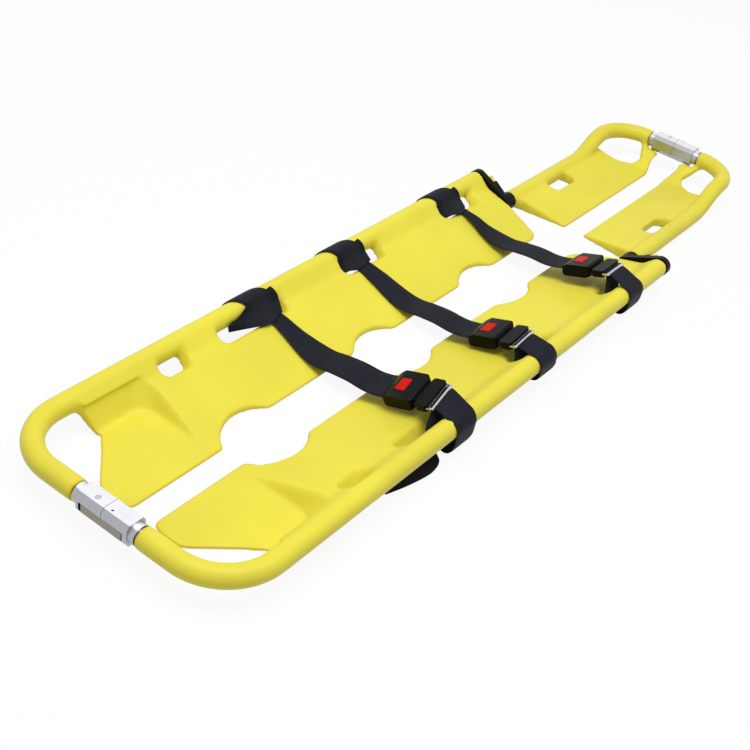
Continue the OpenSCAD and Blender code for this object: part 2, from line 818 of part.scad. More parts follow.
module release_lever() {
    inner = lever_x + lever_thick;
    color(chrome) difference() {
        union() {
            block(lever_x, inner, -lever_right, lever_left, lever_z, lever_z + lever_h);
            block(inner - past, pivot_x, pivot_y - eye_r, pivot_y + eye_r, arm_z, arm_z + arm_h);
            translate([pivot_x, pivot_y, arm_z]) cylinder(r = eye_r, h = arm_h);
            block(inner - past, inner + 4, -14, -8, arm_z, arm_z + arm_h);
        }
        translate([pivot_x, pivot_y, arm_z - past]) cylinder(r = pivot_r + pivot_clear, h = arm_h + 2 * past);
    }
}

module lever_pivot() {
    color(chrome) {
        translate([pivot_x, pivot_y, -block_h / 2 + 0.5]) cylinder(r = pivot_r, h = block_h - 1);
        translate([pivot_x, pivot_y, block_h / 2 - pivot_head_h]) cylinder(r = pivot_head_r, h = pivot_head_h);
    }
}

module lever_spring() {
    color(chrome) translate([0, lever_spring_y, lever_spring_z]) rotate([0, 90, 0])
        coil_spring(lever_x + lever_thick + spring_seat, pivot_x + 2.5 - spring_seat, 2.3, 0.4, 6);
}

// Straps: rail loops, webbing, buckle, button, tongue and cover

module left_loop(i) {
    color(webbing_blue) along_x(strap_x[i] - web_w / 2, strap_x[i] + web_w / 2) difference() {
        two_circle_outline([rail_y, rail_z], loop_out_r, left_neck, left_neck_r + web_t);
        two_circle_outline([rail_y, rail_z], loop_in_r, left_neck, left_neck_r);
    }
}

// Share of the way from the left neck to the buckle
function web_share(y) = min((left_neck[0] - y) / (left_neck[0] - buckle_entry[0]), 1);

function web_point(i, y, z) =
    [strap_x[i] + (buckle_x[i] - strap_x[i]) * web_share(y), y, z + buckle_lift[i] * web_share(y)];

function rolled_across(roll) = [cos(roll), sin(roll) * sin(buckle_tilt), sin(roll) * cos(buckle_tilt)];

module webbing(i) {
    first = [left_neck[0] - left_neck_r - web_t - web_clear, left_neck[1]];
    inside = buckle_entry + web_in_buckle * [-cos(buckle_tilt), sin(buckle_tilt)];
    route = concat([first], web_route, [buckle_entry, inside]);
    across = [for (p = route) rolled_across(buckle_roll[i] * web_share(p[0]))];
    color(webbing_blue) ribbon([for (p = route) web_point(i, p[0], p[1])], web_w, web_t, across);
}

// Inside this frame Y runs along the buckle towards the right rail and Z is its upper face
module at_buckle(i) {
    translate([buckle_x[i], buckle_entry[0], buckle_entry[1] + buckle_lift[i]])
        rotate([buckle_tilt, 0, 180]) rotate([0, buckle_roll[i], 0]) children();
}

module buckle_side() {
    top = buckle_t / 2;
    polygon([
        [0, -top * 0.6], [0, top * 0.4], [button_start - 3, top], [buckle_len - 4, top],
        [buckle_len, top * 0.75], [buckle_len, -top * 0.75], [buckle_len - 8, -top], [8, -top]
    ]);
}

module buckle(i) {
    slot_w = web_w / 2 + 0.8;
    mouth_w = blade_w / 2 + 0.8;
    color(black) at_buckle(i) difference() {
        intersection() {
            along_x(-buckle_w, buckle_w) buckle_side();
            translate([0, 0, -buckle_t]) linear_extrude(2 * buckle_t)
                round_rect(-buckle_w / 2, buckle_w / 2, 0, buckle_len, 6);
        }
        block(-slot_w, slot_w, -past, web_in_buckle + past, -web_t / 2 - web_clear, web_t / 2 + web_clear);
        block(-mouth_w, mouth_w, tongue_start - 3, buckle_len + past,
            -tongue_t / 2 - mouth_room, tongue_t / 2 + 0.6);
        translate([0, 0, pocket_floor]) linear_extrude(buckle_t)
            round_rect(-button_w / 2 - pocket_clear, button_w / 2 + pocket_clear,
                button_start - pocket_clear, button_start + button_len + pocket_clear, 3 + pocket_clear);
    }
}

module button(i) {
    color(red) at_buckle(i) translate([0, 0, buckle_t / 2 + button_proud - button_body_h])
        linear_extrude(button_body_h)
            round_rect(-button_w / 2, button_w / 2, button_start, button_start + button_len, 3);
}

module button_spring(i) {
    color(chrome) at_buckle(i) translate([0, button_start + button_len / 2, 0])
        coil_spring(pocket_floor + spring_seat,
            buckle_t / 2 + button_proud - button_body_h - spring_seat, 4, 0.4, 5);
}

module tongue(i) {
    cover_w = buckle_w - 2;
    color(chrome) at_buckle(i) translate([0, 0, -tongue_t / 2]) linear_extrude(tongue_t) difference() {
        union() {
            round_rect(-blade_w / 2, blade_w / 2, tongue_start, cover_start + 8, 4);
            round_rect(-cover_w / 2, cover_w / 2, cover_start + 2, tongue_end, 4);
        }
        translate([0, tongue_start + 7]) circle(3.5);
        translate([-web_w / 2 - 1.2, window_start]) square([web_w + 2.4, window_len]);
    }
}

module tongue_cover(i) {
    w = buckle_w / 2;
    plate_w = w - 1 + fixed_clear;
    color(black) at_buckle(i) difference() {
        translate([0, 0, -cover_t / 2]) linear_extrude(cover_t)
            round_rect(-w, w, cover_start, cover_start + cover_len, 5);
        block(-plate_w, plate_w, cover_start - past, cover_start + cover_len + past,
            -tongue_t / 2 - fixed_clear, tongue_t / 2 + fixed_clear);
    }
}

// Circles that the right loop runs around: the rail, the tongue's end bar and the slack below the rail
function loop_circles(i, dx) =
    let (skew = tan(buckle_roll[i]) * dx * [sin(buckle_tilt), cos(buckle_tilt)])
    [
        [[-rail_y, rail_z], loop_in_r],
        [bar_place + [0, buckle_lift[i]] + skew, bar_in_r],
        [hang_place, hang_in_r]
    ];

// The circle that reaches furthest in the direction of an angle
function furthest(circles, a) =
    let (reach = [for (c = circles) c[0] * [cos(a), sin(a)] + c[1]])
    search(max(reach), reach)[0];

// Points of the loop's outline at one place along the rail
function loop_ring(i, dx, grow) =
    let (middle = loop_circles(i, 0), circles = loop_circles(i, dx))
    [
        for (a = [0 : loop_step : 360 - loop_step])
            let (c = circles[furthest(middle, a)], p = c[0] + (c[1] + grow) * [cos(a), sin(a)])
            [buckle_x[i] + dx, p[0], p[1]]
    ];

module loop_skin(i, half, grow) {
    ring_skin([for (dx = [-half, half]) loop_ring(i, dx, grow)]);
}

module right_loop(i) {
    half = web_w / 2 * cos(buckle_roll[i]);
    color(webbing_blue) difference() {
        loop_skin(i, half, web_t);
        loop_skin(i, half + past, 0);
    }
}

module tail() {
    path = [for (p = tail_route) [buckle_x[0] + p[0], tail_y, p[1]]];
    color(webbing_blue) ribbon(path, web_w, web_t, [for (p = path) [0, 1, 0]]);
}

upper_panel();  // left_upper_panel
right_side() upper_panel();  // right_upper_panel
leg_panel();  // left_leg_panel
right_side() leg_panel();  // right_leg_panel
bracket();  // left_bracket
right_side() bracket();  // right_bracket
bracket_screw();  // left_bracket_screw
right_side() bracket_screw();  // right_bracket_screw
leg_tube();  // left_leg_tube
right_side() leg_tube();  // right_leg_tube
tube_plug();  // left_tube_plug
right_side() tube_plug();  // right_tube_plug
lock_pin();  // left_lock_pin
right_side() lock_pin();  // right_lock_pin
lock_spring();  // left_lock_spring
right_side() lock_spring();  // right_lock_spring
lock_cap();  // left_lock_cap
right_side() lock_cap();  // right_lock_cap
lock_knob();  // left_lock_knob
right_side() lock_knob();  // right_lock_knob
at_head() socket_half();  // head_socket
at_head() key_half();  // head_key
at_head() release_lever();  // head_lever
at_head() lever_pivot();  // head_pivot
at_head() lever_spring();  // head_spring
at_foot() socket_half();  // foot_socket
at_foot() key_half();  // foot_key
at_foot() release_lever();  // foot_lever
at_foot() lever_pivot();  // foot_pivot
at_foot() lever_spring();  // foot_spring
for (i = [0 : len(strap_x) - 1]) {
    name = str("strap_", i + 1, "_");
    left_loop(i);
    webbing(i);
    buckle(i);
    button(i);
    button_spring(i);
    tongue(i);
    tongue_cover(i);
    right_loop(i);
}
tail();  // strap_1_tail
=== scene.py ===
"""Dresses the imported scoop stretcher: soft moulded panels, metal couplings, webbing straps and buckles."""

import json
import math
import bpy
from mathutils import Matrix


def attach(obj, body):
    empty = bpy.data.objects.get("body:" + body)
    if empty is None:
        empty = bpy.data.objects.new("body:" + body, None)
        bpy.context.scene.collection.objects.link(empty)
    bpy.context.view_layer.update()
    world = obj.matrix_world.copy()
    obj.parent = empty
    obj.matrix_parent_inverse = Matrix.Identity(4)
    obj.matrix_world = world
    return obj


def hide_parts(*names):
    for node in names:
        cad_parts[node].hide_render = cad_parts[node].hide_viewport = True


bl_info = {
    "name": "Scoop stretcher dressing",
    "version": (1, 0, 0),
    "blender": (4, 5, 0),
    "location": "View3D > Sidebar > Stretcher",
    "description": "Builds the visible pieces of a plastic scoop stretcher over its fixed frame",
    "category": "Object",
}

import bmesh
import bpy
import numpy as np
from mathutils import Matrix, Vector

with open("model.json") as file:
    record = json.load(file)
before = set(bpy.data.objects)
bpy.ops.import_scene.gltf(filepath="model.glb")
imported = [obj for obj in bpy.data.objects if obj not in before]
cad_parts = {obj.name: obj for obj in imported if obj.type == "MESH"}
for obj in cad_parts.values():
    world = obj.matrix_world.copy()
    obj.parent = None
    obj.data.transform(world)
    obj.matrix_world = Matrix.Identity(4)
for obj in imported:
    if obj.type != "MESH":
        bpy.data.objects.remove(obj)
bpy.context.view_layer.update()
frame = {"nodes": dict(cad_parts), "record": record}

MM = 0.001
SIDES = ("left", "right")
ENDS = ("head", "foot")
STRAPS = (1, 2, 3)

# Places of the rails and straps, the same as in the part's source
RAIL_Y = 203 * MM
RAIL_Z = 46 * MM
RAIL_R = 17 * MM
STRAP_X = tuple(x * MM for x in (-320, -90, 206))
BUCKLE_X = tuple(x * MM for x in (-318, -84, 216))
BUCKLE_ROLL = tuple(math.radians(a) for a in (16, 5, 0))
BUCKLE_LIFT = tuple(z * MM for z in (6, 0, 8))
BUCKLE_TILT = math.radians(20)
BUCKLE_ENTRY = (-84 * MM, 37 * MM)
BAR_RUN = 92.25 * MM
# Places [y, z] of the webbing between its knot and its buckle
WEB_ROUTE = ((124, 33), (100, 25.5), (74, 19), (47, 17.5), (16, 23), (-15, 27), (-45, 27.5), (-66, 31))
KNOT_INSET = 47 * MM
# Holes beside the rails: middle, length and the run of the ramp at their foot end
HOLES = tuple(
    tuple(v * MM for v in row)
    for row in ((-527, 40, 16), (-351, 138, 12), (-69.5, 95, 15), (222, 88, 26))
)
# Cross-section [y, z] of the ramp along a hole's inner rim
RIM_RAMP = tuple((y * MM, z * MM) for y, z in ((157.5, 36.5), (173.5, 17), (172.5, 12), (160, 12)))
RIM_START = 1 * MM
RIM_OVERRUN = 0.6
# Places [x, y] along the inner edge of a leg panel's neck, and along the rim of the grip hole beside it
LEG_NECK_INNER = (
    (708, 100), (708, 86), (710, 70), (718, 52), (730, 34), (741, 20), (753, 22.5), (767, 26), (781, 27),
    (792, 26), (800, 34), (802, 56),
)
LEG_NECK_RIM = (
    (721, 100), (730, 88), (740, 73), (749, 61), (758, 55), (767, 53), (776, 53.5), (784, 56), (790.5, 60.5),
    (795, 66), (799, 73), (806, 86),
)
# Heights of the widened neck: up the neck along x, just under the leg blade's face across y, and its limit
# under the coupling across y
LEG_NECK_RISE = ((713, 5), (741, 9), (801.5, 43.7))
BLADE_RISE = ((20, 5), (126, 21))
COUPLING_ROOM = ((52, 33.8), (68, 44))
LEG_NECK_THICK = 5.5 * MM
LEG_NECK_SINK = 0.3 * MM
# How far a softened edge gives way before it takes the painted edge shade colour, and until it has all of it
SHADE_EDGE_START = 0.45 * MM
SHADE_EDGE_SPAN = 1.2 * MM
BEVEL_ANGLE = math.radians(28)


# Settings that a user would change


class FinishSettings(bpy.types.PropertyGroup):
    """Colours of the stretcher's finishes"""

    def colour(label, words, value):
        return bpy.props.FloatVectorProperty(
            name=label, description=words, default=value, size=3, subtype="COLOR", min=0.0, max=1.0
        )

    panel: colour("Panel yellow", "Colour of the moulded panels", (0.84, 0.745, 0.062))
    # painted shade: a deeper, more orange yellow laid on the panels' softened convex edges
    panel_edge_shade: colour("Panel edge", "Deeper colour along thin moulded edges", (0.78, 0.55, 0.012))
    black: colour("Black plastic", "Colour of brackets and buckles", (0.002, 0.002, 0.0024))
    red: colour("Button red", "Colour of the buckle buttons", (0.68, 0.010, 0.004))
    webbing: colour("Webbing", "Colour of the strap webbing", (0.013, 0.0145, 0.021))
    stitch: colour("Stitching", "Colour of the sewing thread", (0.030, 0.033, 0.044))
    aluminium: colour("Aluminium", "Colour of the couplings and tubes", (0.84, 0.85, 0.90))
    chrome: colour("Plated steel", "Colour of the tongue plates", (0.60, 0.60, 0.63))
    lever: colour("Lever metal", "Colour of the release levers", (0.27, 0.24, 0.19))
    steel: colour("Steel", "Colour of pins, screws and springs", (0.52, 0.53, 0.55))


class StrapSettings(bpy.types.PropertyGroup):
    """Sizes of the straps"""

    def length(label, words, value):
        return bpy.props.FloatProperty(
            name=label, description=words, default=value, unit="LENGTH", min=0.0001, max=0.2
        )

    width: length("Webbing width", "Full width of the webbing", 50 * MM)
    thick: length("Webbing thickness", "Thickness of the webbing", 2.0 * MM)
    step: length("Mesh step", "Distance between rings of the webbing", 4 * MM)
    stitch_pitch: length("Stitch pitch", "Distance between stitches", 3.2 * MM)
    stitch_len: length("Stitch length", "Length of one stitch", 2.3 * MM)
    stitch_r: length("Thread radius", "Radius of the sewing thread", 0.38 * MM)


class MouldSettings(bpy.types.PropertyGroup):
    """Softness of the moulded and machined edges"""

    voxel: bpy.props.FloatProperty(
        name="Panel mesh step", description="Mesh step of the moulded panels", default=2.9 * MM, unit="LENGTH"
    )
    rounds: bpy.props.IntProperty(
        name="Softening", description="How often the moulded edges are softened", default=7, min=0, max=30
    )


class StageSettings(bpy.types.PropertyGroup):
    """Camera and light"""

    def angle(label, words, degrees):
        return bpy.props.FloatProperty(
            name=label, description=words, default=math.radians(degrees), subtype="ANGLE"
        )

    def place(label, words, value):
        return bpy.props.FloatVectorProperty(
            name=label, description=words, default=value, subtype="TRANSLATION"
        )

    def strength(label, words, value, most):
        return bpy.props.FloatProperty(name=label, description=words, default=value, min=0.0, max=most)

    lens: bpy.props.FloatProperty(
        name="Lens", description="Focal length on a 36 mm frame", default=61.23, unit="CAMERA"
    )
    azimuth: angle("Azimuth", "Side the camera looks from", -58.684)
    elevation: angle("Elevation", "Height angle of the camera", 36.452)
    roll: angle("Roll", "Turn of the camera about its view", 10.44)
    eye: place("Eye", "Place of the camera", (-1.64631, -0.85863, 1.19469))
    lamp: place("Lamp", "Place of the overhead lamp", (-0.45, -0.2, 3.0))
    fill: strength("Fill light", "Strength of the even light", 0.44, 2.0)
    key: strength("Key light", "Power of the overhead lamp in watts", 62.0, 500.0)
    floor_tone: strength("Floor tone", "How much light the floor gives back", 0.6, 1.0)
    floor_glow: strength("Floor glow", "Brightness of the floor where it is seen directly", 1.06, 2.0)
    floor_share: strength("Floor share", "Share of the glow in what is seen of the floor", 0.86, 1.0)


# Shader maths as plain expressions


class Sock:
    """A shader socket with arithmetic, so that maths on a surface reads as an expression"""

    def __init__(self, shader, socket):
        self.shader = shader
        self.socket = socket

    def maths(self, operation, *others, clamp=False):
        values = {i: v for i, v in enumerate((self, *others))}
        return self.shader.node("ShaderNodeMath", {"operation": operation, "use_clamp": clamp}, values)

    def __add__(self, other):
        return self.maths("ADD", other)

    def __mul__(self, other):
        return self.maths("MULTIPLY", other)

    def __truediv__(self, other):
        return self.maths("DIVIDE", other)

    def sine(self):
        return self.maths("SINE")

    def absolute(self):
        return self.maths("ABSOLUTE")

    def clamped(self):
        return self.maths("ADD", 0.0, clamp=True)

    def ramp(self, low, high):
        settings = {"interpolation_type": "SMOOTHSTEP"}
        return self.shader.node("ShaderNodeMapRange", settings, {0: self, 1: low, 2: high})


class Shader:
    """One procedural material around a principled surface"""

    def __init__(self, name):
        self.material = bpy.data.materials.new(name)
        self.material.use_nodes = True
        self.tree = self.material.node_tree
        self.tree.nodes.clear()
        self.output = self.tree.nodes.new("ShaderNodeOutputMaterial")
        self.surface = self.tree.nodes.new("ShaderNodeBsdfPrincipled")
        self.tree.links.new(self.surface.outputs[0], self.output.inputs[0])

    def feed(self, socket, value):
        if isinstance(value, Sock):
            self.tree.links.new(value.socket, socket)
        else:
            socket.default_value = value

    def node(self, kind, settings=None, inputs=None, out=0):
        made = self.tree.nodes.new(kind)
        for key, value in (settings or {}).items():
            setattr(made, key, value)
        for key, value in (inputs or {}).items():
            self.feed(made.inputs[key], value)
        return Sock(self, made.outputs[out])

    def set(self, **inputs):
        for key, value in inputs.items():
            self.feed(self.surface.inputs[key.replace("_", " ")], value)

    def place(self):
        return self.node("ShaderNodeTexCoord", out="Object")

    def stretched(self, place, scale):
        return self.node("ShaderNodeMapping", None, {"Vector": place, "Scale": scale})

    def noise(self, place, scale, detail=2.0, rough=0.5):
        inputs = {"Vector": place, "Scale": scale, "Detail": detail, "Roughness": rough}
        return self.node("ShaderNodeTexNoise", None, inputs)

    def attribute(self, name):
        return self.node("ShaderNodeAttribute", {"attribute_name": name}, out="Fac")

    def uv_parts(self):
        uv = self.node("ShaderNodeUVMap", {"uv_map": "weave"})
        split = self.tree.nodes.new("ShaderNodeSeparateXYZ")
        self.feed(split.inputs[0], uv)
        return Sock(self, split.outputs[0]), Sock(self, split.outputs[1])

    def facing_up(self):
        split = self.tree.nodes.new("ShaderNodeSeparateXYZ")
        self.feed(split.inputs[0], self.node("ShaderNodeNewGeometry", out="Normal"))
        return Sock(self, split.outputs[2])

    def mixed(self, share, first, second):
        settings = {"data_type": "RGBA"}
        return self.node("ShaderNodeMix", settings, {0: share, 6: first, 7: second}, out=2)

    def bump(self, height, distance, strength):
        inputs = {"Height": height, "Distance": distance, "Strength": strength}
        self.feed(self.surface.inputs["Normal"], self.node("ShaderNodeBump", None, inputs))


def opaque(colour, share=1.0):
    """An RGBA value from a colour setting, scaled in brightness"""
    return tuple(min(1.0, c * share) for c in colour) + (1.0,)


def finishes():
    return bpy.context.scene.stretcher_finish


def moulded_yellow():
    """Satin blow-moulded plastic with painted shade, a deeper, more orange tone, along thin edges"""
    shader = Shader("moulded_yellow")
    place = shader.place()
    cloud = shader.noise(place, 7.0, 3.0)
    grain = shader.noise(place, 1500.0, 2.0)
    ripple = shader.noise(place, 38.0, 1.0)
    # painted shade: the edge mask mixes the panel colour towards the deeper edge shade colour
    edge = shader.attribute("edge").clamped()
    body = shader.mixed(cloud.ramp(0.3, 0.7), opaque(finishes().panel, 0.96), opaque(finishes().panel, 1.04))
    shader.set(
        Base_Color=shader.mixed(edge, body, opaque(finishes().panel_edge_shade)),
        Roughness=cloud * 0.10 + grain * 0.06 + 0.34,
        Specular_IOR_Level=0.26,
    )
    shader.bump(grain * 0.25 + ripple, 0.00035, 0.35)
    return shader.material


def black_plastic():
    """Moulded black plastic with a fine spark-eroded grain and edges painted paler as a highlight"""
    shader = Shader("black_plastic")
    place = shader.place()
    grain = shader.noise(place, 2400.0, 3.0, 0.6)
    cloud = shader.noise(place, 60.0, 2.0)
    edge = shader.attribute("edge").clamped()
    body = shader.mixed(cloud, opaque(finishes().black, 0.85), opaque(finishes().black, 1.5))
    shader.set(
        # painted highlight: the edge mask lifts the black towards a paler grey along edges
        Base_Color=shader.mixed(edge * 0.5, body, opaque(finishes().black, 4.0)),
        Roughness=grain * 0.12 + cloud * 0.1 + 0.22,
        Specular_IOR_Level=0.08,
    )
    shader.bump(grain, 0.00006, 0.5)
    return shader.material


def red_plastic():
    """Glossy red push-button plastic"""
    shader = Shader("red_plastic")
    place = shader.place()
    cloud = shader.noise(place, 160.0, 2.0)
    grain = shader.noise(place, 2600.0, 2.0)
    shader.set(
        Base_Color=shader.mixed(cloud, opaque(finishes().red, 0.88), opaque(finishes().red, 1.05)),
        Roughness=cloud * 0.1 + 0.28,
        Specular_IOR_Level=0.06,
    )
    shader.bump(grain, 0.00004, 0.4)
    return shader.material


def woven_webbing():
    """Woven webbing: fine ribs along it, crossed by weft rows, with a soft sheen"""
    shader = Shader("woven_webbing")
    across, along = shader.uv_parts()
    place = shader.place()
    cloud = shader.noise(place, 26.0, 3.0)
    fuzz = shader.noise(place, 3500.0, 2.0)
    warp = (across * (2 * math.pi / (2.1 * MM))).sine()
    weft = (along * (2 * math.pi / (1.5 * MM)) + across * (math.pi / (2.1 * MM))).sine()
    weave = warp * 0.5 + weft * 0.5
    selvedge = (across.absolute() / (25 * MM)).ramp(0.86, 0.97)
    tone = (weave * 0.22 + cloud * 0.5 + 0.12).clamped()
    body = shader.mixed(tone, opaque(finishes().webbing, 0.55), opaque(finishes().webbing, 1.9))
    shader.set(
        Base_Color=shader.mixed(selvedge * 0.6, body, opaque(finishes().webbing, 0.5)),
        Roughness=fuzz * 0.12 + cloud * 0.1 + 0.42,
        Specular_IOR_Level=0.06,
        Sheen_Weight=0.06,
        Sheen_Roughness=0.35,
        Sheen_Tint=(0.55, 0.58, 0.75, 1.0),
    )
    shader.bump(weave + fuzz * 0.4, 0.00022, 0.55)
    return shader.material


def sewing_thread():
    """Slightly paler thread of the sewn seams"""
    shader = Shader("sewing_thread")
    place = shader.place()
    twist = shader.noise(place, 2800.0, 2.0)
    shader.set(
        Base_Color=shader.mixed(twist, opaque(finishes().stitch, 0.6), opaque(finishes().stitch, 1.4)),
        Roughness=twist * 0.2 + 0.5,
    )
    shader.bump(twist, 0.00008, 0.6)
    return shader.material


def drawn_metal(name, colour, rough, line_scale, flank_shade=1.0):
    """Metal with fine drawn lines and slight smears, with painted shade on its flanks: faces that do not face
    up take a share of the upper faces' tone
    """
    shader = Shader(name)
    place = shader.place()
    lines = shader.noise(shader.stretched(place, line_scale), 1.0, 3.0, 0.6)
    smear = shader.noise(place, 45.0, 3.0)
    upper = shader.mixed(smear, opaque(colour, 0.9), opaque(colour, 1.03))
    shader.set(
        # painted shade: faces turned away from the overhead light get the darker flank colour, upward faces
        # the lit one
        Base_Color=shader.mixed(shader.facing_up().ramp(0.82, 0.95), opaque(colour, flank_shade), upper),
        Metallic=1.0,
        Roughness=lines * 0.10 + smear * 0.08 + rough,
    )
    shader.bump(lines, 0.00003, 0.35)
    return shader.material


MATERIALS = {}


def make_materials():
    MATERIALS["yellow_plastic"] = moulded_yellow()
    MATERIALS["black_plastic"] = black_plastic()
    MATERIALS["red_plastic"] = red_plastic()
    MATERIALS["webbing"] = woven_webbing()
    MATERIALS["thread"] = sewing_thread()
    # the aluminium's flanks are painted in shade at half the tone of its upper faces
    MATERIALS["aluminium"] = drawn_metal("bright_aluminium", finishes().aluminium, 0.24, (900, 60, 900), 0.5)
    MATERIALS["chrome"] = drawn_metal("plated_steel", finishes().chrome, 0.09, (500, 500, 2500))
    MATERIALS["lever"] = drawn_metal("lever_metal", finishes().lever, 0.26, (1400, 90, 1400))
    MATERIALS["steel"] = drawn_metal("plain_steel", finishes().steel, 0.30, (2000, 2000, 300))


# Meshes


def node_body(node):
    """Name of the body that carries a CAD node"""
    for body, nodes in frame["record"]["behaviour"]["bodies"].items():
        if node in nodes:
            return body
    raise ValueError(f"no body carries {node}")


def node_slot(node):
    """Record's material slot of a CAD node"""
    for row in frame["record"]["subparts"]:
        if row["node"] == node:
            return row["material_slot"]
    raise ValueError(f"no slot for {node}")


def new_object(name, mesh, material):
    piece = bpy.data.objects.new(name, mesh)
    bpy.context.scene.collection.objects.link(piece)
    mesh.materials.clear()
    mesh.materials.append(material)
    return piece


def settle(piece):
    """Turns a piece with modifiers into one with a plain mesh"""
    graph = bpy.context.evaluated_depsgraph_get()
    mesh = bpy.data.meshes.new_from_object(piece.evaluated_get(graph))
    piece.modifiers.clear()
    old = piece.data
    piece.data = mesh
    bpy.data.meshes.remove(old)
    mesh.name = piece.name
    return piece


def carry(piece, body, slot, *nodes):
    """Puts a finished piece on its body and hides the CAD nodes that it stands for; its slot is not used"""
    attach(piece, body)
    if nodes:
        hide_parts(*nodes)
    return piece


def merged_copy(node, name, material):
    """A joined-up copy of a CAD node's mesh"""
    shell = bmesh.new()
    shell.from_mesh(frame["nodes"][node].data)
    bmesh.ops.remove_doubles(shell, verts=shell.verts, dist=2e-6)
    bmesh.ops.dissolve_limit(shell, angle_limit=math.radians(0.5), verts=shell.verts, edges=shell.edges)
    mesh = bpy.data.meshes.new(name)
    shell.to_mesh(mesh)
    shell.free()
    return new_object(name, mesh, material)


def coordinates(mesh):
    points = np.empty(len(mesh.vertices) * 3, np.float32)
    mesh.vertices.foreach_get("co", points)
    return points.reshape(-1, 3).astype(float)


def softened(mesh, rounds):
    """Relaxes a dense mesh a few times and keeps how far each convex edge gave way, as the mask of painted
    edge shade
    """
    share = 0.55
    points = coordinates(mesh)
    start = points.copy()
    edges = np.empty(len(mesh.edges) * 2, np.int32)
    mesh.edges.foreach_get("vertices", edges)
    edges = edges.reshape(-1, 2)
    count = len(points)
    ends = np.concatenate([edges[:, 0], edges[:, 1]])
    others = np.concatenate([edges[:, 1], edges[:, 0]])
    degree = np.maximum(np.bincount(ends, minlength=count), 1)
    for _ in range(rounds):
        total = np.stack(
            [np.bincount(ends, weights=points[others, k], minlength=count) for k in range(3)], axis=1
        )
        points += share * (total / degree[:, None] - points)
    normals = np.empty(count * 3, np.float32)
    mesh.vertices.foreach_get("normal", normals)
    sunk = -np.einsum("ij,ij->i", points - start, normals.reshape(-1, 3))
    mesh.vertices.foreach_set("co", points.astype(np.float32).ravel())
    # how far each point sank becomes the mask for painted edge shade on the panels
    edge_shade_mask = mesh.attributes.new("edge", "FLOAT", "POINT")
    edge_shade_mask.data.foreach_set("value", np.clip((sunk - SHADE_EDGE_START) / SHADE_EDGE_SPAN, 0.0, 1.0).astype(np.float32))
    mesh.update()


def smooth_faces(mesh, sharp_angle=None):
    mesh.shade_smooth()
    if sharp_angle is not None:
        mesh.set_sharp_from_angle(angle=math.radians(sharp_angle))


def add_solid(mesh, points, faces):
    """Adds a closed solid to a mesh"""
    shell = bmesh.new()
    shell.from_mesh(mesh)
    corners = [shell.verts.new(p) for p in points]
    made = [shell.faces.new([corners[v] for v in face]) for face in faces]
    bmesh.ops.recalc_face_normals(shell, faces=made)
    shell.to_mesh(mesh)
    shell.free()


def add_rim_ramps(mesh, turn):
    """Adds a sloping rim along the inner side of each hole of an upper panel"""
    count = len(RIM_RAMP)
    faces = [tuple(range(count)), tuple(range(count, 2 * count))]
    for k in range(count):
        n = (k + 1) % count
        faces.append((k, n, n + count, k + count))
    for middle, length, run in HOLES:
        ends = (middle - length / 2 + RIM_START, middle + length / 2 + RIM_OVERRUN * run)
        add_solid(mesh, [(x, turn * y, z) for x in ends for y, z in RIM_RAMP], faces)


def heights(places, rise):
    """Height over each place along a bent line of [place, height] in millimetres"""
    at, up = zip(*rise)
    return np.interp(places / MM, at, up) * MM


def add_neck_web(mesh, turn):
    """Widens the neck of a leg panel beside the foot coupling and rounds the grip hole"""
    rows, columns = 40, 9
    inner = resampled([(x * MM, y * MM, 0) for x, y in LEG_NECK_INNER], rows)
    rim = resampled([(x * MM, y * MM, 0) for x, y in LEG_NECK_RIM], rows)
    share = np.linspace(0, 1, columns)[None, :, None]
    upper = (1 - share) * inner[:, None] + share * rim[:, None]
    climb = np.maximum(heights(upper[..., 0], LEG_NECK_RISE), heights(upper[..., 1], BLADE_RISE))
    upper[..., 2] = np.minimum(climb, heights(upper[..., 1], COUPLING_ROOM)) - LEG_NECK_SINK
    lower = upper.copy()
    lower[..., 2] = np.maximum(upper[..., 2] - LEG_NECK_THICK, 0)
    points = np.concatenate([upper.reshape(-1, 3), lower.reshape(-1, 3)]) * (1, turn, 1)
    add_solid(mesh, points, sheet_faces(rows, columns))


def moulded(node):
    """A CAD panel as one soft blow moulding"""
    settings = bpy.context.scene.stretcher_mould
    piece = merged_copy(node, node + "_moulding", MATERIALS["yellow_plastic"])
    turn = 1 if node.startswith("left") else -1
    if node.endswith("upper_panel"):
        add_rim_ramps(piece.data, turn)
    else:
        add_neck_web(piece.data, turn)
    remesh = piece.modifiers.new("skin", "REMESH")
    remesh.mode = "VOXEL"
    remesh.voxel_size = settings.voxel
    settle(piece)
    softened(piece.data, settings.rounds)
    smooth_faces(piece.data)
    return carry(piece, node_body(node), "yellow_plastic", node)


def bevelled(node, width, segments=3, finish=None):
    """A CAD piece with softly broken edges, in its slot's finish or another one"""
    slot = node_slot(node)
    piece = merged_copy(node, node + "_dressed", MATERIALS[finish or slot])
    bevel = piece.modifiers.new("edges", "BEVEL")
    bevel.width = width
    bevel.segments = segments
    bevel.limit_method = "ANGLE"
    bevel.angle_limit = BEVEL_ANGLE
    bevel.use_clamp_overlap = True
    smooth_faces(piece.data, 32)
    flats = piece.modifiers.new("flats", "WEIGHTED_NORMAL")
    flats.weight = 100
    flats.keep_sharp = False
    settle(piece)
    return carry(piece, node_body(node), slot, node)


# Webbing


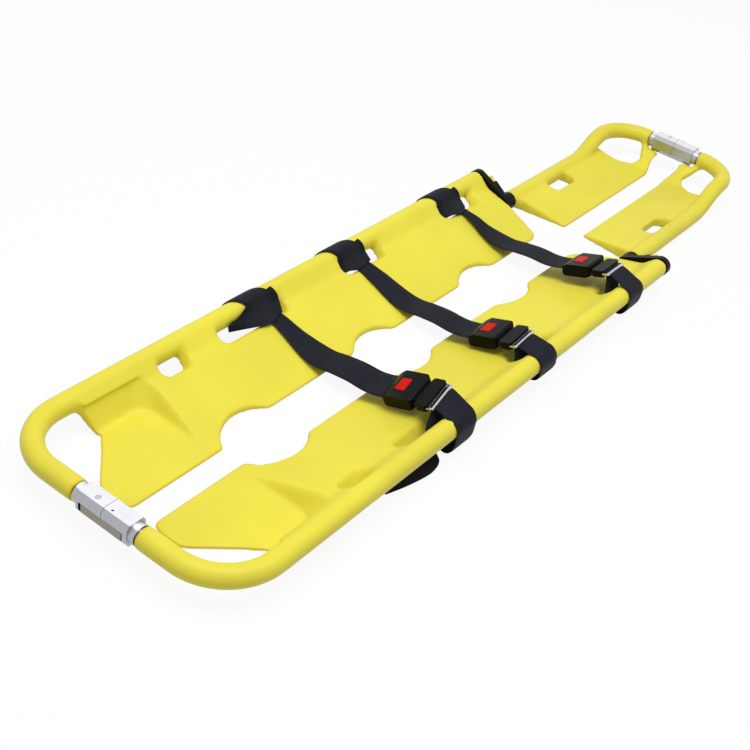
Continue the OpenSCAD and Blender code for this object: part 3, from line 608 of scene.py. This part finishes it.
def smooth_route(points, step):
    """Even points along a smooth curve through the given ones"""
    points = np.array(points, float)
    padded = np.vstack([2 * points[0] - points[1], points, 2 * points[-1] - points[-2]])
    fine = []
    for k in range(1, len(padded) - 2):
        a, b, c, d = padded[k - 1 : k + 3]
        square = 2 * a - 5 * b + 4 * c - d
        cube = 3 * b - a - 3 * c + d
        for t in np.linspace(0, 1, 24, endpoint=False):
            fine.append(0.5 * (2 * b + (c - a) * t + square * t**2 + cube * t**3))
    fine.append(padded[-2])
    return even(np.array(fine), step)


def even(fine, step):
    """The same line with its points a fixed step apart"""
    run = np.concatenate([[0], np.cumsum(np.linalg.norm(np.diff(fine[:, :3], axis=0), axis=1))])
    count = max(3, int(round(run[-1] / step)))
    places = np.linspace(0, run[-1], count + 1)
    return np.stack([np.interp(places, run, fine[:, k]) for k in range(fine.shape[1])], axis=1)


def unit(v):
    return v / np.maximum(np.linalg.norm(v, axis=-1, keepdims=True), 1e-12)


def band(name, line, across, widths, thick, closed=False, askew=False):
    """A flat woven band along a line, with rounded selvedges, and a map of the weave in metres

    A band drawn askew keeps its edges level with its middle where it leans."""
    columns = 13
    count = len(line)
    if closed:
        heading = unit(np.roll(line, -1, axis=0) - np.roll(line, 1, axis=0))
    else:
        heading = unit(np.gradient(line, axis=0))
    if not askew:
        across = across - heading * np.einsum("ij,ij->i", across, heading)[:, None]
    across = unit(across)
    upright = unit(np.cross(heading, across))
    spread = np.linspace(-1, 1, columns)
    depth = (1 - 0.75 * np.abs(spread) ** 10) * thick / 2
    run = np.concatenate([[0], np.cumsum(np.linalg.norm(np.diff(line, axis=0), axis=1))])
    ring_side = np.concatenate([spread, spread[::-1]])
    ring_up = np.concatenate([depth, -depth[::-1]])
    vertices = []
    for i in range(count):
        offset = np.outer(ring_side * widths[i] / 2, across[i]) + np.outer(ring_up, upright[i])
        vertices.append(line[i] + offset)
    vertices = np.concatenate(vertices)
    sides = 2 * columns
    faces, maps = [], []
    last = count if closed else count - 1
    for i in range(last):
        j = (i + 1) % count
        end_run = run[i] + float(np.linalg.norm(line[j] - line[i]))
        for k in range(sides):
            n = (k + 1) % sides
            faces.append((i * sides + k, i * sides + n, j * sides + n, j * sides + k))
            u0, u1 = ring_side[k] * widths[i] / 2, ring_side[n] * widths[i] / 2
            w0, w1 = ring_side[k] * widths[j] / 2, ring_side[n] * widths[j] / 2
            maps.append(((u0, run[i]), (u1, run[i]), (w1, end_run), (w0, end_run)))
    if not closed:
        for i, turn in ((0, -1), (count - 1, 1)):
            first, past = i * sides, (i + 1) * sides
            for k in range(columns - 1):
                corner = [first + k, first + k + 1, past - 2 - k, past - 1 - k]
                faces.append(tuple(corner[::turn]))
                maps.append(tuple((ring_side[c % sides] * widths[i] / 2, run[i]) for c in corner[::turn]))
    mesh = bpy.data.meshes.new(name)
    mesh.from_pydata(vertices.tolist(), [], faces)
    weave = mesh.uv_layers.new(name="weave")
    weave.data.foreach_set("uv", np.array([c for m in maps for c in m], np.float32).ravel())
    fix_normals(mesh)
    mesh.validate()
    smooth_faces(mesh, 60)
    return new_object(name, mesh, MATERIALS["webbing"])


def fix_normals(mesh):
    shell = bmesh.new()
    shell.from_mesh(mesh)
    bmesh.ops.recalc_face_normals(shell, faces=shell.faces)
    shell.to_mesh(mesh)
    shell.free()


def straps():
    return bpy.context.scene.stretcher_strap


def web_share(y):
    """How far along from the left rail to the buckle a place is"""
    start = RAIL_Y - KNOT_INSET
    return min(1.0, (start - y) / (start - BUCKLE_ENTRY[0]))


def rolled(roll):
    return np.array(
        [math.cos(roll), math.sin(roll) * math.sin(BUCKLE_TILT), math.sin(roll) * math.cos(BUCKLE_TILT)]
    )


def buckle_matrix(i):
    """Frame of a buckle: its Y runs to the right rail and its Z is the upper face"""
    place = Matrix.Translation((BUCKLE_X[i], BUCKLE_ENTRY[0], BUCKLE_ENTRY[1] + BUCKLE_LIFT[i]))
    turn = Matrix.Rotation(math.pi, 4, "Z") @ Matrix.Rotation(BUCKLE_TILT, 4, "X")
    return place @ turn @ Matrix.Rotation(BUCKLE_ROLL[i], 4, "Y")


def in_buckle(i, x, y, z):
    return np.array(buckle_matrix(i) @ Vector((x, y, z)))


# Where each strap leaves its knot: shift along the rail, place across, height and gathered width
NECK_SHIFT = tuple(x * MM for x in (10, 15, 19))
NECK_Y = tuple(y * MM for y in (152, 158, 154))
NECK_Z = 39.5 * MM
NECK_WIDTH = tuple(w * MM for w in (32, 38, 21))
NECK_TURN = tuple(math.radians(a) for a in (15, 7, 20))
# How far the slack fold of each knot reaches towards the head, and how far it hangs below the neck
FLAP_REACH = tuple(x * MM for x in (73, 31, 34))
FLAP_DROP = tuple(z * MM for z in (4.4, 11, 15))
# Length over which a gathered strap opens, with the spacing and depth of its pleats
GATHER_LEN = 98 * MM
PLEAT_WIDTH = 6.5 * MM
PLEAT_DEPTH = 1.6 * MM
# How early a strap drifts from its knot's place along the rail to its buckle's
WEB_DRIFT = 0.7
# Sewn box before the buckle: mesh steps of its length and of its distance to the end, and its half width as a
# share of the webbing's width
SEAM_STEPS = 6
SEAM_SHARE = 0.38


def long_webbing(i, stitches):
    """The band from the left rail's knot to the buckle, gathered at the knot and sewn before the buckle"""
    size = straps()
    neck_x = STRAP_X[i] + NECK_SHIFT[i]
    points = [
        (neck_x - 2 * MM, NECK_Y[i] + 8 * MM, NECK_Z - 3.4 * MM),
        (neck_x, NECK_Y[i], NECK_Z - 1.4 * MM),
    ]
    for y, z in WEB_ROUTE:
        share = web_share(y * MM)
        x = neck_x + (BUCKLE_X[i] - neck_x) * share**WEB_DRIFT
        points.append((x, y * MM, z * MM + BUCKLE_LIFT[i] * share))
    points.append(in_buckle(i, 0, 0, 0))
    points.append(in_buckle(i, 0, 11 * MM, 0))
    line = smooth_route(points, size.step)
    opened = np.clip((NECK_Y[i] - line[:, 1]) / GATHER_LEN, 0, 1)
    opened = opened * opened * (3 - 2 * opened)
    shares = np.clip([web_share(y) for y in line[:, 1]], 0, 1)
    across = np.array([rolled(BUCKLE_ROLL[i] * s) for s in shares])
    across[:, 1] += np.tan(NECK_TURN[i]) * (1 - opened)
    widths = NECK_WIDTH[i] + (size.width - NECK_WIDTH[i]) * opened
    piece = band(f"strap_{i + 1}_long_webbing", line, across, widths, size.thick)
    crease(piece.data, line, opened)
    last = len(line) - SEAM_STEPS
    side = SEAM_SHARE * size.width
    seam = box_seam(line, across, size.thick + size.stitch_r, last - SEAM_STEPS, last, side)
    stitch_rows(f"strap_{i + 1}_seam", seam, "left_upper", stitches)
    carry(piece, "left_upper", "webbing", f"strap_{i + 1}_webbing")
    return piece


def crease(mesh, line, opened):
    """Lays soft pleats along the gathered end of a band"""
    points = coordinates(mesh)
    per_ring = len(points) // len(line)
    ring = np.repeat(np.arange(len(line)), per_ring)
    side = points - line[ring]
    off = np.linalg.norm(side[:, :2], axis=1)
    fold = (1 - opened[ring]) * np.cos(off / PLEAT_WIDTH * math.pi) * PLEAT_DEPTH
    points[:, 2] += fold
    mesh.vertices.foreach_set("co", points.astype(np.float32).ravel())
    mesh.update()


def wrap_points(centre, radius, start, end, count):
    """Points [y, z] round a rail between two angles in degrees"""
    angles = np.radians(np.linspace(start, end, count))
    return [(centre[0] + radius * math.cos(a), centre[1] + radius * math.sin(a)) for a in angles]


def rail_knot(i):
    """The turn of webbing round the left rail, which runs slanting under the rail towards the head"""
    size = straps()
    around = wrap_points((RAIL_Y, RAIL_Z), RAIL_R + 1.6 * MM, 148, -165, 13)
    share = np.linspace(0, 1, len(around))
    slant = np.interp(share, [0, 0.15, 0.3, 0.5, 0.75, 1], [6, -3, -14, -23, -31, -33]) * MM
    line = smooth_route([(STRAP_X[i] + slant[k], y, z) for k, (y, z) in enumerate(around)], size.step)
    run = np.linspace(0, 1, len(line))
    widths = np.interp(run, [0, 0.3, 0.6, 1], [60, 60, 54, 46]) * MM
    across = np.tile([1.0, 0.0, 0.0], (len(line), 1))
    piece = band(f"strap_{i + 1}_rail_knot", line, across, widths, size.thick, askew=True)
    carry(piece, "left_upper", "webbing", f"strap_{i + 1}_left_loop")
    return piece


def knot_corners(i):
    """Corners of the fold that covers a knot, in metres: along the rail top, down to the neck and the flap"""
    flap = FLAP_REACH[i] / MM
    neck = NECK_SHIFT[i] / MM
    half = NECK_WIDTH[i] / MM / 2 + 1
    neck_y, neck_z = NECK_Y[i] / MM, NECK_Z / MM
    dip = half * math.tan(NECK_TURN[i])
    corners = {
        "rail_head": (-26, 188.5, 58.5),
        "rail_top": (6, 192.5, 62.2),
        "rail_foot": (38, 196.5, 64.8),
        "side_foot": (45, 182, 45),
        "neck_foot": (neck + half, neck_y + dip, neck_z + 1),
        "neck_head": (neck - half, neck_y - dip, neck_z + 1),
        "flap_under": (neck - 26 - flap / 4, neck_y + 5, neck_z),
        "flap_tip": (-flap, neck_y + 6 + flap * 0.3, neck_z - FLAP_DROP[i] / MM),
        "flap_top": (-flap + 2, 183, 46),
        "side_head": (-14 - flap / 2, 184, 49),
    }
    return {name: np.array((STRAP_X[i] + x * MM, y * MM, z * MM)) for name, (x, y, z) in corners.items()}


def resampled(points, count):
    """A smooth curve through points, as a fixed number of places"""
    line = smooth_route(points, 1.5 * MM)
    run = np.linspace(0, 1, len(line))
    places = np.linspace(0, 1, count)
    return np.stack([np.interp(places, run, line[:, k]) for k in range(3)], axis=1)


def patch(top, bottom, left, right):
    """Grid of points spanned between four curves that meet at their ends"""
    u = np.linspace(0, 1, len(top))[None, :, None]
    v = np.linspace(0, 1, len(left))[:, None, None]
    down = (1 - v) * top[None] + v * bottom[None]
    along = (1 - u) * left[:, None] + u * right[:, None]
    corners = (1 - u) * ((1 - v) * top[0] + v * bottom[0]) + u * ((1 - v) * top[-1] + v * bottom[-1])
    return down + along - corners


def off_rail(grid, gap):
    """Moves points that would lie in the left rail out to a gap from it"""
    out = grid[..., 1:] - (RAIL_Y, RAIL_Z)
    reach = np.linalg.norm(out, axis=-1, keepdims=True)
    grid[..., 1:] = (RAIL_Y, RAIL_Z) + out * np.maximum(1.0, (RAIL_R + gap) / np.maximum(reach, 1e-6))
    return grid


def sheet_faces(rows, columns):
    """Faces of a closed sheet over a grid of points: upper side, lower side and rim"""
    count = rows * columns
    index = np.arange(count).reshape(rows, columns)
    cells = [
        (index[r, c], index[r, c + 1], index[r + 1, c + 1], index[r + 1, c])
        for r in range(rows - 1) for c in range(columns - 1)
    ]
    rim = [*index[0, :-1], *index[:-1, -1], *index[-1, :0:-1], *index[:0:-1, 0]]
    faces = [*cells, *(tuple(v + count for v in cell[::-1]) for cell in cells)]
    faces += [(b, a, a + count, b + count) for a, b in zip(rim, rim[1:] + rim[:1])]
    return [tuple(int(v) for v in face) for face in faces]


def cloth_patch(name, grid, thick):
    """A closed thin sheet over a grid of points, with a map of the weave in metres"""
    rows, columns = grid.shape[:2]
    count = rows * columns
    upright = unit(np.cross(np.gradient(grid, axis=1), np.gradient(grid, axis=0)))
    vertices = np.concatenate([(grid + s * upright * thick / 2).reshape(-1, 3) for s in (1, -1)])
    width = np.linalg.norm(np.diff(grid, axis=1), axis=2).sum(axis=1).mean()
    height = np.linalg.norm(np.diff(grid, axis=0), axis=2).sum(axis=0).mean()
    mesh = bpy.data.meshes.new(name)
    mesh.from_pydata(vertices.tolist(), [], sheet_faces(rows, columns))
    weave = mesh.uv_layers.new(name="weave")
    for loop in mesh.loops:
        r, c = divmod(loop.vertex_index % count, columns)
        weave.data[loop.index].uv = ((c / (columns - 1) - 0.5) * width, r / (rows - 1) * height)
    fix_normals(mesh)
    smooth_faces(mesh, 60)
    return new_object(name, mesh, MATERIALS["webbing"]), float(width * height)


def knot_fold(i):
    """The slack fold over a knot: from the rail's top down to the gathered neck, with a hanging flap"""
    size = straps()
    columns, rows = 17, 13
    at = knot_corners(i)
    top = resampled([at[k] for k in ("rail_head", "rail_top", "rail_foot")], columns)
    bottom = resampled([at[k] for k in ("flap_tip", "flap_under", "neck_head", "neck_foot")], columns)
    left = resampled([at[k] for k in ("rail_head", "side_head", "flap_top", "flap_tip")], rows)
    right = resampled([at[k] for k in ("rail_foot", "side_foot", "neck_foot")], rows)
    grid = off_rail(patch(top, bottom, left, right), 3.0 * MM)
    piece, area = cloth_patch(f"strap_{i + 1}_knot_fold", grid, size.thick)
    carry(piece, "left_upper", "webbing")
    return piece


# Height of the slack below the right rail, its lean to the foot end, and the inner strand's lean to the
# head end, in millimetres
SLACK_Z = (16, 26, 22)
SLACK_LEAN = (0, 9, 2)
STRAND_LEAN = (24, 14, 15)


def rail_band(i):
    """The slack loop from the tongue's window under its end bar, over the right rail, and hanging below it"""
    size = straps()
    hang, slack, strand = SLACK_Z[i], SLACK_LEAN[i], STRAND_LEAN[i]
    over = wrap_points((-RAIL_Y, RAIL_Z), RAIL_R + 1.7 * MM, 98, 186, 7)
    below = [
        (slack * 0.5, -220, hang + 6), (slack, -214, hang - 7), (slack, -204, hang - 11),
        (slack * 0.5, -195, hang - 6), (0, -190.5, hang + 6), (-strand * 0.6, -187, 34), (-strand, -182, 42),
        (-strand * 0.5, -175, 54),
    ]
    in_window = ((-5.2, -7), (-5.7, -2), (-4.2, 1.2), (-2.8, -1.4), (0, -3.1), (5, -4.2))
    points = [(BUCKLE_X[i], y, z) for y, z in over]
    points += [(BUCKLE_X[i] + x * MM, y * MM, z * MM) for x, y, z in below]
    points += [tuple(in_buckle(i, 0, BAR_RUN + run * MM, z * MM)) for run, z in in_window]
    loop = smooth_route(points + points[:1], size.step / 2)[:-1]
    bar_z = in_buckle(i, 0, BAR_RUN, 0)[2]
    rolled_share = np.clip((loop[:, 2] - 52 * MM) / (bar_z - 52 * MM), 0, 1)
    across = unit(np.outer(1 - rolled_share, [1.0, 0, 0]) + np.outer(rolled_share, rolled(BUCKLE_ROLL[i])))
    widths = np.full(len(loop), size.width) * (1 - 0.03 * rolled_share)
    piece = band(f"strap_{i + 1}_rail_band", loop, across, widths, size.thick, closed=True, askew=True)
    carry(piece, "right_upper", "webbing", f"strap_{i + 1}_right_loop")
    return piece


# Middle line, height and width of the loose tail along the floor, in millimetres
TAIL_ROUTE = (
    (-334, -184, 2.2, 24), (-350, -184.5, 2.2, 26), (-360, -187.5, 2.0, 35), (-370, -192, 1.7, 44),
    (-382, -194.5, 1.5, 46), (-394, -194.5, 1.4, 47), (-413, -191, 1.3, 48), (-440, -184.5, 1.3, 49),
    (-469, -176, 1.3, 49),
)


def loose_tail():
    """The free strap end that lies on the floor beside the first loop"""
    size = straps()
    route = smooth_route([tuple(v * MM for v in row) for row in TAIL_ROUTE], size.step)
    line, widths = route[:, :3], route[:, 3]
    across = np.tile([0.0, 1.0, 0.0], (len(line), 1))
    piece = band("strap_1_loose_tail", line, across, widths, size.thick)
    carry(piece, "right_upper", "webbing", "strap_1_tail")
    return piece


# Sewn seams as a node tree that lays stitches along a line


def stitch_tree():
    """Node tree that puts short thread capsules along a curve at a fixed pitch"""
    tree = bpy.data.node_groups.new("stitch_row", "GeometryNodeTree")
    face = tree.interface
    face.new_socket("Geometry", in_out="INPUT", socket_type="NodeSocketGeometry")
    for label, value in (("Pitch", 3.2 * MM), ("Stitch length", 2.3 * MM), ("Thread radius", 0.38 * MM)):
        face.new_socket(label, in_out="INPUT", socket_type="NodeSocketFloat").default_value = value
    face.new_socket("Thread", in_out="INPUT", socket_type="NodeSocketMaterial")
    face.new_socket("Geometry", in_out="OUTPUT", socket_type="NodeSocketGeometry")
    add = tree.nodes.new
    link = tree.links.new
    start, end = add("NodeGroupInput"), add("NodeGroupOutput")
    curve = add("GeometryNodeMeshToCurve")
    points = add("GeometryNodeCurveToPoints")
    points.mode = "LENGTH"
    ball = add("GeometryNodeMeshUVSphere")
    ball.inputs["Segments"].default_value = 6
    ball.inputs["Rings"].default_value = 5
    stretch = add("ShaderNodeCombineXYZ")
    half = add("ShaderNodeMath")
    half.operation = "MULTIPLY"
    half.inputs[1].default_value = 0.5
    place = add("GeometryNodeInstanceOnPoints")
    real = add("GeometryNodeRealizeInstances")
    paint = add("GeometryNodeSetMaterial")
    link(start.outputs["Geometry"], curve.inputs[0])
    link(curve.outputs[0], points.inputs[0])
    link(start.outputs["Pitch"], points.inputs["Length"])
    link(start.outputs["Stitch length"], half.inputs[0])
    link(start.outputs["Thread radius"], stretch.inputs[0])
    link(start.outputs["Thread radius"], stretch.inputs[1])
    link(half.outputs[0], stretch.inputs[2])
    link(points.outputs["Points"], place.inputs["Points"])
    link(points.outputs["Rotation"], place.inputs["Rotation"])
    link(ball.outputs[0], place.inputs["Instance"])
    link(stretch.outputs[0], place.inputs["Scale"])
    link(place.outputs[0], real.inputs[0])
    link(real.outputs[0], paint.inputs[0])
    link(start.outputs["Thread"], paint.inputs["Material"])
    link(paint.outputs[0], end.inputs[0])
    return tree


def stitch_rows(name, rows, body, tree):
    """Rows of stitches along lists of points, as one plain mesh"""
    size = straps()
    vertices, edges = [], []
    for row in rows:
        first = len(vertices)
        vertices += [tuple(p) for p in row]
        edges += [(first + k, first + k + 1) for k in range(len(row) - 1)]
    mesh = bpy.data.meshes.new(name)
    mesh.from_pydata(vertices, edges, [])
    piece = new_object(name, mesh, MATERIALS["thread"])
    sewn = piece.modifiers.new("stitches", "NODES")
    sewn.node_group = tree
    values = {
        "Pitch": size.stitch_pitch, "Stitch length": size.stitch_len,
        "Thread radius": size.stitch_r, "Thread": MATERIALS["thread"],
    }
    for socket in tree.interface.items_tree:
        if socket.in_out == "INPUT" and socket.name in values:
            sewn[socket.identifier] = values[socket.name]
    settle(piece)
    smooth_faces(piece.data)
    return carry(piece, body, "webbing")


def box_seam(line, across, thick, first, last, side):
    """Rows of one sewn box with a cross, between two places of a band"""
    heading = unit(np.gradient(line, axis=0))
    across = unit(across - heading * np.einsum("ij,ij->i", across, heading)[:, None])
    face = line + np.cross(heading, across) * thick / 2
    places = range(first, last + 1)
    cross_share = np.linspace(-1, 1, len(places))
    rows = [[face[k] + across[k] * side * edge for k in places] for edge in (-1, 1)]
    rows += [[face[k] + across[k] * side * edge for edge in (-1, 0, 1)] for k in (first, last)]
    rows += [[face[k] + across[k] * side * t * turn for k, t in zip(places, cross_share)] for turn in (-1, 1)]
    return rows


# Operators, one for each group of pieces


class STRETCHER_OT_stage(bpy.types.Operator):
    """Camera, lamp, even light and pale floor"""

    bl_idname = "stretcher.stage"
    bl_label = "Stage"

    def execute(self, context):
        settings = context.scene.stretcher_stage
        context.scene.view_settings.view_transform = "Standard"
        place_camera(settings)
        even_light(settings)
        overhead_lamp(settings)
        pale_floor(settings)
        return {"FINISHED"}


def place_camera(settings):
    a, e, r = settings.azimuth, settings.elevation, settings.roll
    back = Vector((math.sin(a) * math.cos(e), -math.cos(a) * math.cos(e), math.sin(e)))
    right = (-back).cross(Vector((0, 0, 1))).normalized()
    up = right.cross(-back)
    x = right * math.cos(r) + up * math.sin(r)
    y = up * math.cos(r) - right * math.sin(r)
    camera = bpy.data.cameras.new("photo_camera")
    camera.lens = settings.lens
    camera.sensor_width = 36.0
    eye = bpy.data.objects.new("photo_camera", camera)
    turn = Matrix((x, y, back)).transposed().to_4x4()
    eye.matrix_world = Matrix.Translation(settings.eye) @ turn
    bpy.context.scene.collection.objects.link(eye)
    bpy.context.scene.camera = eye


def seen_directly(tree):
    """A factor that is 1 for rays that show a surface as it is, not for light that falls on the object"""
    path = tree.nodes.new("ShaderNodeLightPath")
    total = path.outputs["Is Camera Ray"]
    for label in ("Is Glossy Ray", "Is Transmission Ray"):
        larger = tree.nodes.new("ShaderNodeMath")
        larger.operation = "MAXIMUM"
        tree.links.new(total, larger.inputs[0])
        tree.links.new(path.outputs[label], larger.inputs[1])
        total = larger.outputs[0]
    return total


def even_light(settings):
    world = bpy.data.worlds.new("even_light")
    bpy.context.scene.world = world
    world.use_nodes = True
    tree = world.node_tree
    tree.nodes.clear()
    out = tree.nodes.new("ShaderNodeOutputWorld")
    fill = tree.nodes.new("ShaderNodeBackground")
    fill.inputs["Strength"].default_value = settings.fill
    white = tree.nodes.new("ShaderNodeBackground")
    white.inputs["Strength"].default_value = 1.0
    for shade in (fill, white):
        shade.inputs["Color"].default_value = (1, 1, 1, 1)
    mix = tree.nodes.new("ShaderNodeMixShader")
    tree.links.new(seen_directly(tree), mix.inputs[0])
    tree.links.new(fill.outputs[0], mix.inputs[1])
    tree.links.new(white.outputs[0], mix.inputs[2])
    tree.links.new(mix.outputs[0], out.inputs[0])


def overhead_lamp(settings):
    lamp = bpy.data.lights.new("overhead_lamp", "AREA")
    lamp.shape = "RECTANGLE"
    lamp.size, lamp.size_y = 2.4, 1.6
    lamp.energy = settings.key
    hung = bpy.data.objects.new("overhead_lamp", lamp)
    hung.location = settings.lamp
    hung.rotation_euler = (Vector((0, 0, 0)) - hung.location).to_track_quat("-Z", "Y").to_euler()
    bpy.context.scene.collection.objects.link(hung)


def pale_floor(settings):
    material = bpy.data.materials.new("pale_floor")
    material.use_nodes = True
    tree = material.node_tree
    tree.nodes.clear()
    out = tree.nodes.new("ShaderNodeOutputMaterial")
    matt = tree.nodes.new("ShaderNodeBsdfDiffuse")
    matt.inputs["Color"].default_value = opaque((settings.floor_tone,) * 3)
    glow = tree.nodes.new("ShaderNodeEmission")
    glow.inputs["Strength"].default_value = settings.floor_glow
    share = tree.nodes.new("ShaderNodeMath")
    share.operation = "MULTIPLY"
    share.inputs[1].default_value = settings.floor_share
    mix = tree.nodes.new("ShaderNodeMixShader")
    tree.links.new(seen_directly(tree), share.inputs[0])
    tree.links.new(share.outputs[0], mix.inputs[0])
    tree.links.new(matt.outputs[0], mix.inputs[1])
    tree.links.new(glow.outputs[0], mix.inputs[2])
    tree.links.new(mix.outputs[0], out.inputs[0])
    half = 9.0
    mesh = bpy.data.meshes.new("pale_floor")
    corners = [(-half, -half, 0), (half, -half, 0), (half, half, 0), (-half, half, 0)]
    mesh.from_pydata(corners, [], [(0, 1, 2, 3)])
    floor = new_object("pale_floor", mesh, material)
    floor.location.z = -0.6 * MM


class STRETCHER_OT_panels(bpy.types.Operator):
    """The four moulded panels with their rails"""

    bl_idname = "stretcher.panels"
    bl_label = "Moulded panels"

    def execute(self, context):
        for side in SIDES:
            moulded(side + "_upper_panel")
            moulded(side + "_leg_panel")
        return {"FINISHED"}


class STRETCHER_OT_couplings(bpy.types.Operator):
    """The two end couplings with their levers"""

    bl_idname = "stretcher.couplings"
    bl_label = "End couplings"

    def execute(self, context):
        for end in ENDS:
            bevelled(end + "_socket", 0.7 * MM)
            bevelled(end + "_key", 0.7 * MM)
            bevelled(end + "_lever", 0.6 * MM, finish="lever")
            bevelled(end + "_pivot", 0.3 * MM, 2)
            plain_finish(end + "_spring")
        return {"FINISHED"}


def plain_finish(node):
    """Keeps a CAD node as it is, with its procedural finish"""
    held = frame["nodes"][node]
    held.data.materials.clear()
    held.data.materials.append(MATERIALS[node_slot(node)])


class STRETCHER_OT_length_locks(bpy.types.Operator):
    """The end brackets, leg tubes and sprung lock pins"""

    bl_idname = "stretcher.length_locks"
    bl_label = "Brackets and locks"

    def execute(self, context):
        for side in SIDES:
            bevelled(side + "_bracket", 1.6 * MM, 4)
            bevelled(side + "_lock_knob", 0.5 * MM, 2)
            for name in ("bracket_screw", "leg_tube", "tube_plug", "lock_pin", "lock_spring", "lock_cap"):
                plain_finish(f"{side}_{name}")
        return {"FINISHED"}


class STRETCHER_OT_straps(bpy.types.Operator):
    """Webbing, knots, rail loops and the loose tail"""

    bl_idname = "stretcher.straps"
    bl_label = "Straps"

    def execute(self, context):
        stitches = stitch_tree()
        for k in STRAPS:
            long_webbing(k - 1, stitches)
            rail_knot(k - 1)
            knot_fold(k - 1)
            rail_band(k - 1)
        loose_tail()
        return {"FINISHED"}


class STRETCHER_OT_buckles(bpy.types.Operator):
    """Buckles, buttons, tongue plates and their covers"""

    bl_idname = "stretcher.buckles"
    bl_label = "Buckles"

    def execute(self, context):
        for k in STRAPS:
            name = f"strap_{k}_"
            bevelled(name + "buckle", 1.4 * MM, 4)
            bevelled(name + "button", 0.9 * MM, 3)
            bevelled(name + "tongue", 0.5 * MM, 2)
            bevelled(name + "cover", 1.4 * MM, 4)
            plain_finish(name + "button_spring")
        return {"FINISHED"}


class STRETCHER_PT_tools(bpy.types.Panel):
    """Lists the stretcher's pieces and settings"""

    bl_idname = "STRETCHER_PT_tools"
    bl_label = "Scoop stretcher"
    bl_space_type = "VIEW_3D"
    bl_region_type = "UI"
    bl_category = "Stretcher"

    def draw(self, context):
        for step in STEPS:
            self.layout.operator(step.bl_idname)
        for settings in ("finish", "strap", "mould", "stage"):
            group = getattr(context.scene, "stretcher_" + settings)
            for key in group.__annotations__:
                self.layout.prop(group, key)


SETTINGS = {
    "stretcher_finish": FinishSettings,
    "stretcher_strap": StrapSettings,
    "stretcher_mould": MouldSettings,
    "stretcher_stage": StageSettings,
}
STEPS = (
    STRETCHER_OT_stage, STRETCHER_OT_panels, STRETCHER_OT_couplings,
    STRETCHER_OT_length_locks, STRETCHER_OT_straps, STRETCHER_OT_buckles,
)
CLASSES = (*SETTINGS.values(), *STEPS, STRETCHER_PT_tools)


def register():
    for made in CLASSES:
        bpy.utils.register_class(made)
    for name, group in SETTINGS.items():
        setattr(bpy.types.Scene, name, bpy.props.PointerProperty(type=group))


def unregister():
    for name in SETTINGS:
        delattr(bpy.types.Scene, name)
    for made in reversed(CLASSES):
        bpy.utils.unregister_class(made)


def main():
    register()
    make_materials()
    bpy.ops.stretcher.stage()
    bpy.ops.stretcher.panels()
    bpy.ops.stretcher.couplings()
    bpy.ops.stretcher.length_locks()
    bpy.ops.stretcher.straps()
    bpy.ops.stretcher.buckles()


if __name__ == "__main__":
    main()
